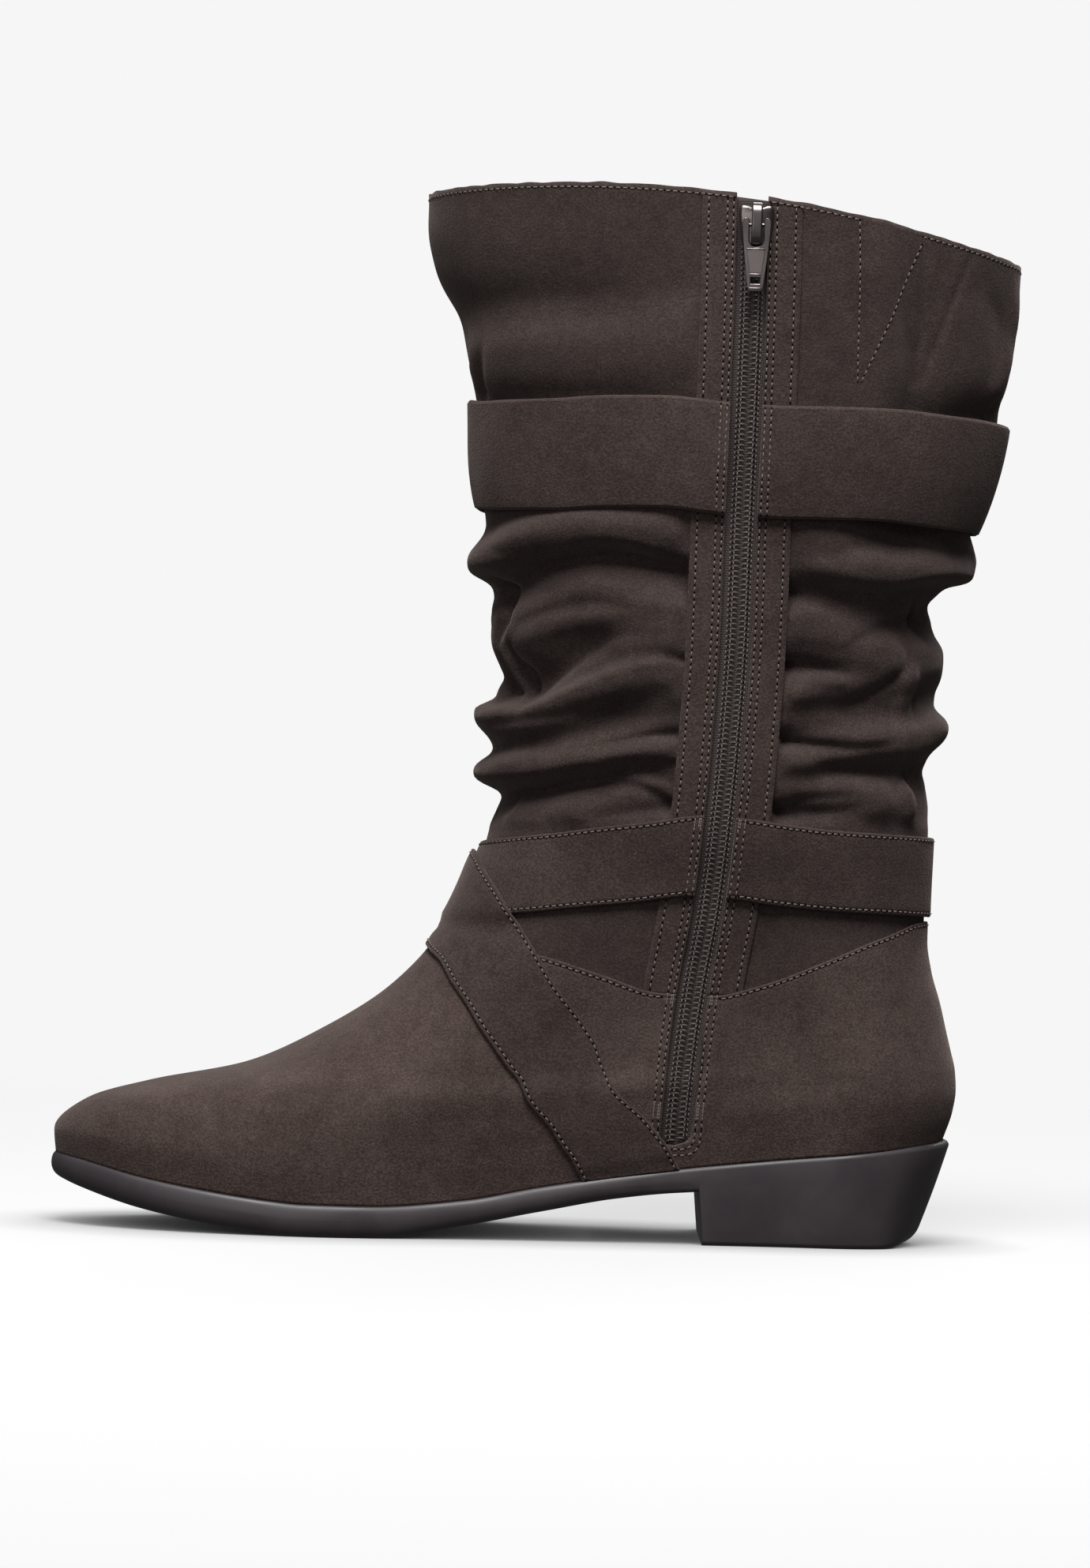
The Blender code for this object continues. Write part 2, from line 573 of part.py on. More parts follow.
def make_instep_strap():
    """The diagonal strap from the sole over the instep and down to the sole again, above the ankle strap."""
    knots = np.array(INSTEP_STRAP_LINE)
    shares = np.linspace(0, 1, len(knots))
    high_lift = 4 * CLEARANCE + GUARD_THICKNESS + ANKLE_STRAP_THICKNESS
    low_lift = 4 * CLEARANCE + FOOT_COVER_THICKNESS
    middle = []
    for share in np.linspace(-1, 1, 2 * INSTEP_STRAP_SPANS + 1):
        up = float(through(shares, knots[:, 0], abs(share)))
        place = float(np.copysign(1 - through(shares, knots[:, 1], abs(share)), share))
        middle.append((up, place))
    points = [across_front(up, place)[0] for up, place in middle]
    half_spans = 2
    grid = []
    for k, (up, place) in enumerate(middle):
        ahead = points[min(k + 1, len(points) - 1)] - points[max(k - 1, 0)]
        row = {0: (up, place)}
        for direction in (-1, 1):
            at = (up, place)
            for step in range(1, half_spans + 1):
                across = np.cross(across_front(*at)[1], ahead)
                across *= INSTEP_STRAP_WIDTH / 2 / half_spans / np.linalg.norm(across)
                at = moved_on_surface(*at, across * direction)
                row[direction * step] = at
        spots = [across_front(*row[step]) for step in range(half_spans, -half_spans - 1, -1)]
        way = abs(2 * k / (len(middle) - 1) - 1)
        lift = high_lift + (low_lift - high_lift) * ease(*OFF_ANKLE_STRAP, way)
        grid.append([point + normal * lift for point, normal in spots])
    shell("instep_strap", np.array(grid), INSTEP_STRAP_THICKNESS, SUEDE)


def make_zip(points, out):
    """The zip's tape, behind the upper's wall, and its coil, plain here, in the gap between the guards."""
    rows = slice(ZIP_FOOT_ROW - 1, COLLAR + 1)
    strip = slice(GUARD_FRONT, GUARD_BACK + 1)
    lift = -(WALL + 1.5 * CLEARANCE)
    tape = lifted(points[rows, strip], out[rows, strip], lift)
    shell("zip_tape", tape, TAPE_THICKNESS, TAPE_BLACK, outside=False)
    rows = slice(ZIP_FOOT_ROW + 1, COLLAR)
    front, back = points[rows, SLOT_FRONT], points[rows, SLOT_BACK]
    normals = out[rows, SLOT_FRONT] + out[rows, SLOT_BACK]
    normals /= np.linalg.norm(normals, axis=1, keepdims=True)
    across = (back - front) / np.linalg.norm(back - front, axis=1, keepdims=True)
    middle = (front + back) / 2 + across * COIL_SHIFT
    edges = [middle - across * COIL_WIDTH / 2, middle + across * COIL_WIDTH / 2]
    coil = np.stack([edge - normals * (WALL - CLEARANCE) for edge in edges], axis=1)
    shell("zip_coil", coil, COIL_THICKNESS, GUNMETAL)


def sole_stations():
    """Girth shares of the sole's stations from toe to heel, with stations at the ends of the flat under the
    ball and two close ones at the heel's breast."""
    length = TOE_REACH + HEEL_REACH
    shares = [(1 - math.cos(math.pi * k / SOLE_SPANS)) / 2 for k in range(SOLE_SPANS + 1)]
    flat = [share for share, _, bottom in SOLE_LINE if bottom == 0]
    shares = [share for share in shares if min(abs(share - end) for end in flat) > 0.3 / SOLE_SPANS] + flat
    breast = (TOE_REACH - HEEL_BREAST) / length
    rake = BREAST_RAKE / length
    shares = [share for share in shares if abs(share - breast) > 3 * rake]
    shares += [breast - rake / 2, breast + rake / 2]
    return [math.acos(2 * share - 1) / math.pi for share in sorted(shares)]


def plan_ring(stations):
    """The feather edge in plan, from the toe by the inner side and the heel: points, normals and shares."""
    places = [(-1, girth) for girth in stations] + [(1, girth) for girth in reversed(stations[1:-1])]
    points = np.array([base_point(0.0, girth, side) for side, girth in places])
    ahead = np.roll(points, -1, axis=0) - np.roll(points, 1, axis=0)
    normals = np.column_stack([ahead[:, 1], -ahead[:, 0], np.zeros(len(points))])
    normals /= np.linalg.norm(normals, axis=1, keepdims=True)
    if normals[0, 0] > 0:
        normals = -normals
    shares = np.array([(1 + math.cos(math.pi * girth)) / 2 for side, girth in places])
    return points, normals, shares


def ring_body(name, loops, count, look):
    """A closed body from rings of points, top ring first, its two ends closed by strips across."""
    shape = bmesh.new()
    rings = [[shape.verts.new(point) for point in loop] for loop in loops]
    total = len(rings[0])
    for upper_ring, lower_ring in zip(rings, rings[1:]):
        for k in range(total):
            after = (k + 1) % total
            shape.faces.new((upper_ring[k], upper_ring[after], lower_ring[after], lower_ring[k]))
    for ring in (rings[0], rings[-1]):
        for k in range(count - 1):
            quad = [ring[k], ring[k + 1], ring[(total - k - 1) % total], ring[(total - k) % total]]
            shape.faces.new(list(dict.fromkeys(quad)))
    bmesh.ops.recalc_face_normals(shape, faces=shape.faces)
    mesh = bpy.data.meshes.new(name)
    shape.to_mesh(mesh)
    shape.free()
    return new_object(name, mesh, look)


def make_sole():
    """The moulded sole and heel in one: toe spring, flat ball, arch, and a heel with a rounded back."""
    stations = sole_stations()
    points, normals, shares = plan_ring(stations)
    breast = (TOE_REACH - HEEL_BREAST) / (TOE_REACH + HEEL_REACH)
    top = sole_top(shares)
    bottom = np.where(shares > breast, 0.0, sole_bottom(shares))
    depth = top - bottom
    at_back = ease(0.93, 1.0, shares)
    margin = SOLE_MARGIN + (HEEL_BACK_MARGIN - SOLE_MARGIN) * at_back
    reach = CLEARANCE + FOOT_COVER_THICKNESS + margin
    taper = SOLE_TAPER + (HEEL_BACK_TAPER - SOLE_TAPER) * at_back
    edge = np.minimum(SOLE_SIDE_ROUND + (HEEL_BACK_ROUND - SOLE_SIDE_ROUND) * at_back, 0.4 * depth)
    top_round = np.minimum(SOLE_TOP_ROUND, 0.25 * depth)
    diagonal = 1 - math.sqrt(0.5)

    def loop(inset, height):
        ring = points + normals * (reach - inset)[:, None]
        ring[:, 2] = height
        return ring

    loops = [
        loop(top_round, top),
        loop(np.zeros(len(top)), top - top_round),
        loop(taper * (depth - edge), bottom + edge),
        loop(taper * (depth - edge * diagonal) + edge * diagonal, bottom + edge * diagonal),
        loop(taper * depth + edge, bottom),
    ]
    ring_body("outsole", loops, len(stations), SOLE_BLACK)


def make_insole():
    """The insole, inside the upper's wall and on the sole."""
    stations = [math.acos(math.cos(math.pi * k / SOLE_SPANS)) / math.pi for k in range(SOLE_SPANS, -1, -1)]
    points, normals, shares = plan_ring(stations)
    ring = points - normals * (WALL + 4 * CLEARANCE)
    low, high = ring.copy(), ring.copy()
    low[:, 2] = sole_top(shares) + 2 * CLEARANCE
    high[:, 2] = low[:, 2] + INSOLE_THICKNESS
    ring_body("insole", [high, low], len(stations), LINING)


def box(name, size, centre):
    """A box from the cube primitive, by size and centre."""
    bpy.ops.mesh.primitive_cube_add(size=1, location=(0, 0, 0))
    cube = bpy.context.object
    cube.name = name
    cube.data.transform(Matrix.Translation(centre) @ Matrix.Diagonal((*size, 1)))
    return cube


def flat_outline(name, outlines, thickness):
    """A plate from closed outlines in a plane, the first its edge and the others its holes."""
    curve = bpy.data.curves.new(name, "CURVE")
    curve.dimensions = "2D"
    curve.fill_mode = "BOTH"
    curve.extrude = thickness / 2
    for outline in outlines:
        spline = curve.splines.new("POLY")
        spline.points.add(len(outline) - 1)
        for point, place in zip(spline.points, outline):
            point.co = (*place, 0, 1)
        spline.use_cyclic_u = True
    holder = bpy.data.objects.new(name, curve)
    bpy.context.scene.collection.objects.link(holder)
    bpy.context.view_layer.update()
    mesh = bpy.data.meshes.new_from_object(holder.evaluated_get(bpy.context.evaluated_depsgraph_get()))
    bpy.data.objects.remove(holder)
    shape = bmesh.new()
    shape.from_mesh(mesh)
    bmesh.ops.remove_doubles(shape, verts=shape.verts, dist=1e-6)
    bmesh.ops.recalc_face_normals(shape, faces=shape.faces)
    shape.to_mesh(mesh)
    shape.free()
    return mesh


def arc(centre, radius, start, end, count):
    """Points along an arc, angles in degrees."""
    angles = [math.radians(start + (end - start) * k / count) for k in range(count + 1)]
    return [(centre[0] + radius * math.cos(a), centre[1] + radius * math.sin(a)) for a in angles]


PLATE_LIFT = 2 * CLEARANCE + GUARD_THICKNESS
PIN_LIFT = PLATE_LIFT + SLIDER_PLATE + PIN_SIZE / 2 + PIN_ROOM


def slider_frame():
    """The pull's axis point and the lean of the wall under it."""
    up = up_at(0.5, -1, SLIDER_HEIGHT)
    middle = zip_x(SLIDER_HEIGHT) + COIL_SHIFT
    here = base_point(up, girth_at(up, -1, middle), -1)
    below = base_point(up - 0.02, girth_at(up - 0.02, -1, middle), -1)
    lean = math.atan2(below[1] - here[1], here[2] - below[2])
    return here, lean


def make_slider():
    """The zip's slider: a plate over the guards, a neck down to the coil and a crown that holds the pull."""
    here, lean = slider_frame()
    plate_size = (SLIDER_WIDTH, SLIDER_PLATE, SLIDER_LENGTH)
    plate = box("zip_slider", plate_size, (0, -PLATE_LIFT - SLIDER_PLATE / 2, 0))
    bevel = plate.modifiers.new("edges", "BEVEL")
    bevel.width = SLIDER_PLATE / 4
    bevel.segments = 2
    neck_depth = PLATE_LIFT + SLIDER_PLATE / 2
    neck = box("neck", (SLIDER_NECK_WIDTH, neck_depth, SLIDER_LENGTH * 0.7), (0, -neck_depth / 2, 0))
    room = PIN_LIFT + PIN_SIZE / 2 + PIN_ROOM
    half = CROWN_LENGTH / 2
    foot = PLATE_LIFT + SLIDER_PLATE / 2
    bend = (room + CROWN_BAR - foot) * 0.8
    outer = [(-half, foot)] + arc((-half + bend, room + CROWN_BAR - bend), bend, 180, 90, 5)
    outer += arc((half - bend, room + CROWN_BAR - bend), bend, 90, 0, 5) + [(half, foot)]
    inner_bend = bend - CROWN_BAR
    inner = [(half - CROWN_BAR, foot)] + arc((half - bend, room - inner_bend), inner_bend, 0, 90, 4)
    inner += arc((-half + bend, room - inner_bend), inner_bend, 90, 180, 4) + [(-half + CROWN_BAR, foot)]
    crown_mesh = flat_outline("crown", [outer + inner], CROWN_WIDTH)
    crown_mesh.transform(Matrix(((0, 0, 1, 0), (0, -1, 0, 0), (1, 0, 0, 0), (0, 0, 0, 1))))
    crown = bpy.data.objects.new("crown", crown_mesh)
    for cutter in (neck, crown):
        for holder in list(cutter.users_collection):
            holder.objects.unlink(cutter)
        bpy.data.collections["joined_forms"].objects.link(cutter)
        cutter.hide_render = True
        cutter.display_type = "WIRE"
        union = plate.modifiers.new(cutter.name, "BOOLEAN")
        union.operation = "UNION"
        union.object = cutter
    for piece in (plate, neck, crown):
        piece.location = here
        piece.rotation_euler = (lean, 0, 0)
    for holder in list(plate.users_collection):
        holder.objects.unlink(plate)
    bpy.data.collections[COLLECTION].objects.link(plate)
    plate.data.materials.append(material("zip_slider", GUNMETAL))


def make_pull():
    """The zip's pull tab, hanging from a pin through the crown. Its origin is on the pin's axis."""
    here, lean = slider_frame()
    half_pin = PIN_SIZE / 2
    half_fork = PULL_FORK_WIDTH / 2
    corner = half_fork * 0.35
    edge = arc((half_fork - corner, half_pin - corner), corner, 90, 0, 4)
    edge += [(half_fork, -PULL_WINDOW_REACH)]
    edge += [(PULL_NECK_WIDTH / 2, -PULL_WINDOW_REACH * 1.3)]
    edge += arc((0, -PULL_LENGTH + PULL_TIP_WIDTH / 2), PULL_TIP_WIDTH / 2, 0, -90, 5)
    outline = edge + [(-x, y) for x, y in reversed(edge[:-1])]
    half_window = CROWN_WIDTH / 2 + CLEARANCE + PIN_ROOM / 2
    window = [(-half_window, -half_pin), (half_window, -half_pin)]
    window += [(half_window, -PULL_WINDOW_REACH), (-half_window, -PULL_WINDOW_REACH)]
    low, half_hole = -PULL_HOLE_PLACE, PULL_HOLE_SIZE / 2
    hole = [(-half_hole, low + half_hole), (half_hole, low + half_hole)]
    hole += [(half_hole, low - half_hole), (-half_hole, low - half_hole)]
    mesh = flat_outline("zip_pull", [outline, window, hole], PULL_THICKNESS)
    mesh.transform(Matrix.Rotation(math.radians(90), 4, "X"))
    pull = new_object("zip_pull", mesh, GUNMETAL)
    out = np.array([0, -math.cos(lean), -math.sin(lean)])
    pull.location = here + out * PIN_LIFT


def build():
    """Empties the scene and makes every piece of the boot."""
    for old in list(bpy.data.objects):
        bpy.data.objects.remove(old)
    for name in (COLLECTION, "joined_forms"):
        bpy.context.scene.collection.children.link(bpy.data.collections.new(name))
    points, out = upper_grid()
    make_sole()
    make_insole()
    make_upper(points, out)
    make_foot_cover(points, out)
    make_zip_guards(points, out)
    make_straps(points, out)
    make_instep_strap()
    make_zip(points, out)
    make_slider()
    make_pull()


build()
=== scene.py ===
"""Looks of a wide calf boot for the right foot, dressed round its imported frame.

Metres, +Z up. The toe points along -X, the heel along +X and the inside of the leg (the zip side) along -Y.
A spot on the upper is told by its place (0 at the front line, by the inner side to 1 at the back line and by
the outer side to 2 at the front line again) and by its share of the way up, or by its height.
"""

import math

import bmesh
import bpy
import numpy as np
from mathutils import Matrix, Vector


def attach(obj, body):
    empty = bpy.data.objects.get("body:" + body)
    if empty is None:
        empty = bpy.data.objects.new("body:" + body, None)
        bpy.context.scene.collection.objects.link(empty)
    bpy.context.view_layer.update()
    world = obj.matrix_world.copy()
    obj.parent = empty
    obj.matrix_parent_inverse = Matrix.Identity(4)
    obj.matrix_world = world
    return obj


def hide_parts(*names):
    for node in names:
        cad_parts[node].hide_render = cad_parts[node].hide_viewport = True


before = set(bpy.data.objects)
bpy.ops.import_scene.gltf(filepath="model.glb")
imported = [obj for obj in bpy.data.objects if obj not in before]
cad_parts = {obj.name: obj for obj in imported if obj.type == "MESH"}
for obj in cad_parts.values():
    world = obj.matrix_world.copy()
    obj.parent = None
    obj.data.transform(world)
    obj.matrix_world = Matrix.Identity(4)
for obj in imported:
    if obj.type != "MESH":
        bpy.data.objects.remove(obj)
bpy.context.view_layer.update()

MM = 0.001

# Driving sizes of the boot, as in the frame
TOE_REACH = 219.3 * MM
HEEL_REACH = 45.0 * MM
INSTEP_HEIGHT = 108.0 * MM
COLLAR_HEIGHT = 314.0 * MM
BALL_WIDTH = 92.0 * MM
SEAT_WIDTH = 61.0 * MM
SHAFT_FRONT = 117.0 * MM
SHAFT_BACK = 62.0 * MM
SHAFT_WIDTH = 95.0 * MM
TOE_SWING = 7.0 * MM
COLLAR_ARCH = 7.0 * MM
SEAT_HEIGHT = 31.5 * MM
TOE_SPRING = 13.8 * MM
HEEL_BREAST = 27.0 * MM
BREAST_RAKE = 1.6 * MM

WALL = 2.0 * MM
CLEARANCE = 0.3 * MM
FEATHER_GAP = 0.6 * MM
COVER_THICKNESS = 1.0 * MM
GUARD_THICKNESS = 0.8 * MM
BAND_WIDTH = 33.0 * MM
BAND_THICKNESS = 2.2 * MM
BAND_PUFF = 1.3 * MM
STRAP_WIDTH = 24.0 * MM
STRAP_THICKNESS = 1.6 * MM
FOLD_HEIGHT = 5.5 * MM

SOLE_MARGIN = 0.8 * MM
SOLE_TOP_ROUND = 1.6 * MM
TOE_MARGIN = 1.4 * MM
SOLE_SIDE_ROUND = 1.5 * MM
HEEL_BACK_MARGIN = 1.9 * MM
HEEL_BACK_ROUND = 5.5 * MM
SOLE_TAPER = 0.08
HEEL_BACK_TAPER = 0.33

ZIP_GAP = 9.4 * MM
GUARD_WIDTH = 10.0 * MM
ZIP_FOOT = 29.5 * MM
COIL_SHIFT = 0.35 * MM
TAPE_THICKNESS = 0.7 * MM
GUARD_LIFT = CLEARANCE
STRAP_LIFT = 2 * CLEARANCE + GUARD_THICKNESS
STRAP_LOW_LIFT = 0.4 * MM
EDGE_SEAM = 1.1 * MM
GUARD_SEAM = 1.9 * MM
ZIP_SEAMS = (0.8 * MM, 2.6 * MM)
TAPE_LIFT = -1.1 * MM

# Half the shaft's girth, which turns places into lengths
HALF_GIRTH = 180.0 * MM

# The instep strap and its number of sections
INSTEP_THICKNESS = 1.4 * MM
INSTEP_STATIONS = 150

# Columns of the shaft in front of the zip's guards and under each guard, and of the cover in front of the zip
FRONT_COLUMNS = 96
GUARD_COLUMNS = 4
SLOT_COLUMN = FRONT_COLUMNS + GUARD_COLUMNS
COVER_SLIT = 80

# Stitches and their needle holes
STITCH_PITCH = 2.1 * MM
TACK_PITCH = 0.8 * MM
STITCH_LENGTH = 1.55 * MM
STITCH_THICKNESS = 0.5 * MM
HOLE_SIZE = 0.72 * MM
COLLAR_SEAM = 1.5 * MM

# The zip's coil, up to the slider
COIL_PITCH = 1.55 * MM
COIL_HALF_WIDTH = 2.6 * MM
COIL_WIRE = 0.6 * MM
SLIDER_TOP = 0.972 * COLLAR_HEIGHT

# Brightness of the backdrop and of the light that it gives
FLOOR_GREY = 0.922
AMBIENT = 0.10

# The camera: place, roll in degrees and focal length in millimetres. The lights aim at the boot's middle
CAMERA_SPOT = (-0.077, -1.8, 0.1356)
CAMERA_ROLL = 1.75
CAMERA_LENS = 136.7
LIGHT_AIM = (-0.06, 0.0, 0.13)

# The sole from toe tip to heel: share of its length, height of its top edge as a share of SEAT_HEIGHT, and
# height of its bottom as a share of TOE_SPRING
SOLE_LINE = (
    (0.00, 0.650, 1.00),
    (0.03, 0.610, 0.82),
    (0.10, 0.483, 0.46),
    (0.18, 0.378, 0.20),
    (0.25, 0.308, 0.04),
    (0.28, 0.288, 0.00),
    (0.36, 0.284, 0.00),
    (0.46, 0.356, 0.29),
    (0.55, 0.505, 0.65),
    (0.63, 0.622, 0.96),
    (0.70, 0.705, 1.12),
    (0.80, 0.803, 1.22),
    (0.90, 0.892, 1.25),
    (1.00, 1.000, 1.25),
)

# The foot's girth lines, from the feather edge up to the instep: front x of TOE_REACH, front z as a share of
# the way from the sole's toe to INSTEP_HEIGHT, back x of HEEL_REACH, back z as a share of the way from
# SEAT_HEIGHT to INSTEP_HEIGHT, full widths at ball and waist of BALL_WIDTH and at the seat of SEAT_WIDTH,
# lengths of the round front and back of BALL_WIDTH, share of the feather edge's dip, toe swing share
FOOT_SECTIONS = (
    (1.000, 0.000, 1.000, 0.000, 1.00, 0.80, 1.00, 1.03, 0.37, 1.00, 1.00),
    (1.003, 0.077, 1.062, 0.111, 1.01, 0.82, 1.03, 1.00, 0.37, 0.80, 1.00),
    (0.962, 0.171, 1.080, 0.190, 0.98, 0.83, 1.05, 0.92, 0.38, 0.52, 0.95),
    (0.880, 0.235, 1.070, 0.267, 0.93, 0.83, 1.03, 0.82, 0.39, 0.32, 0.80),
    (0.752, 0.305, 1.036, 0.346, 0.83, 0.79, 1.02, 0.70, 0.41, 0.15, 0.60),
    (0.638, 0.440, 1.000, 0.425, 0.78, 0.77, 0.99, 0.65, 0.43, 0.05, 0.40),
    (0.556, 0.577, 0.955, 0.530, 0.77, 0.76, 0.97, 0.60, 0.46, 0.00, 0.20),
    (0.502, 0.720, 0.890, 0.660, 0.77, 0.76, 0.97, 0.55, 0.49, 0.00, 0.10),
    (0.469, 0.852, 0.858, 0.791, 0.78, 0.78, 0.99, 0.52, 0.53, 0.00, 0.00),
    (0.444, 1.000, 0.862, 0.973, 0.79, 0.80, 1.04, 0.52, 0.57, 0.00, 0.00),
)

# The shaft's girth lines, from above the instep to the collar: front x of SHAFT_FRONT, front z of
# COLLAR_HEIGHT, back x of SHAFT_BACK, back z of COLLAR_HEIGHT, full widths at front, middle and back and
# lengths of the round front and back of SHAFT_WIDTH, share of the collar's arch
SHAFT_SECTIONS = (
    (0.799, 0.385, 0.629, 0.382, 0.79, 0.81, 0.71, 0.53, 0.58, 0.00),
    (0.797, 0.462, 0.637, 0.452, 0.80, 0.83, 0.74, 0.55, 0.61, 0.00),
    (0.797, 0.541, 0.650, 0.529, 0.81, 0.84, 0.76, 0.57, 0.63, 0.00),
    (0.811, 0.621, 0.680, 0.608, 0.82, 0.86, 0.78, 0.58, 0.63, 0.05),
    (0.838, 0.694, 0.787, 0.682, 0.84, 0.88, 0.81, 0.59, 0.63, 0.15),
    (0.859, 0.780, 0.887, 0.758, 0.88, 0.92, 0.84, 0.61, 0.65, 0.35),
    (0.902, 0.854, 0.960, 0.822, 0.92, 0.96, 0.87, 0.63, 0.66, 0.60),
    (0.954, 0.924, 0.990, 0.879, 0.94, 0.98, 0.90, 0.65, 0.67, 0.80),
    (1.000, 0.993, 1.000, 0.9385, 0.96, 1.00, 0.92, 0.67, 0.67, 1.10),
)

# Places along the foot, from toe to heel, at which the three widths hold
WIDTH_PLACES = (0.28, 0.55, 0.85)

# The foot's centre line from toe to heel: share of its length and of TOE_SWING, towards the outer side
CENTRE_LINE = ((0.0, -1.0), (0.15, -0.5), (0.3, 0.0), (0.43, 0.27), (0.62, 0.15), (1.0, 0.0))

# Lines round the upper, from the back line (0) to the front line (1) of either side: the foot cover's top edge
# and the middles of the ankle strap and of the band, as shares of COLLAR_HEIGHT
GIRTH_LINES = (
    (0.00, 0.311, 0.353, 0.737),
    (0.09, 0.310, 0.354, 0.738),
    (0.21, 0.294, 0.356, 0.740),
    (0.31, 0.271, 0.358, 0.743),
    (0.39, 0.249, 0.362, 0.742),
    (0.45, 0.237, 0.367, 0.741),
    (0.51, 0.238, 0.369, 0.743),
    (0.59, 0.253, 0.361, 0.748),
    (0.67, 0.267, 0.354, 0.747),
    (0.75, 0.276, 0.347, 0.744),
    (0.87, 0.282, 0.340, 0.744),
    (1.00, 0.284, 0.335, 0.748),
)

# Middle of the zip from its foot up: height as a share of COLLAR_HEIGHT, distance in front of the heel's
# middle as a share of SHAFT_FRONT
ZIP_LINE = (
    (0.00, 0.310),
    (0.11, 0.300),
    (0.17, 0.288),
    (0.24, 0.268),
    (0.32, 0.235),
    (0.39, 0.216),
    (0.47, 0.200),
    (0.58, 0.187),
    (0.69, 0.184),
    (0.80, 0.180),
    (0.88, 0.179),
    (1.05, 0.182),
)

# The instep strap's lower and upper edge on the inner side, from the front line down to the sole, as places and
# shares of the way up. The outer side is the same
INSTEP_STRAP_EDGES = (
    ((0.0000, 0.3920), (0.1217, 0.3779), (0.2132, 0.3445), (0.3017, 0.2994), (0.4622, 0.1878),
     (0.5398, 0.0662), (0.5593, 0.0000)),
    ((0.0000, 0.5262), (0.0546, 0.5218), (0.1655, 0.4853), (0.2391, 0.4437), (0.3519, 0.3578),
     (0.4795, 0.2547), (0.6058, 0.0776), (0.6323, 0.0000)),
)

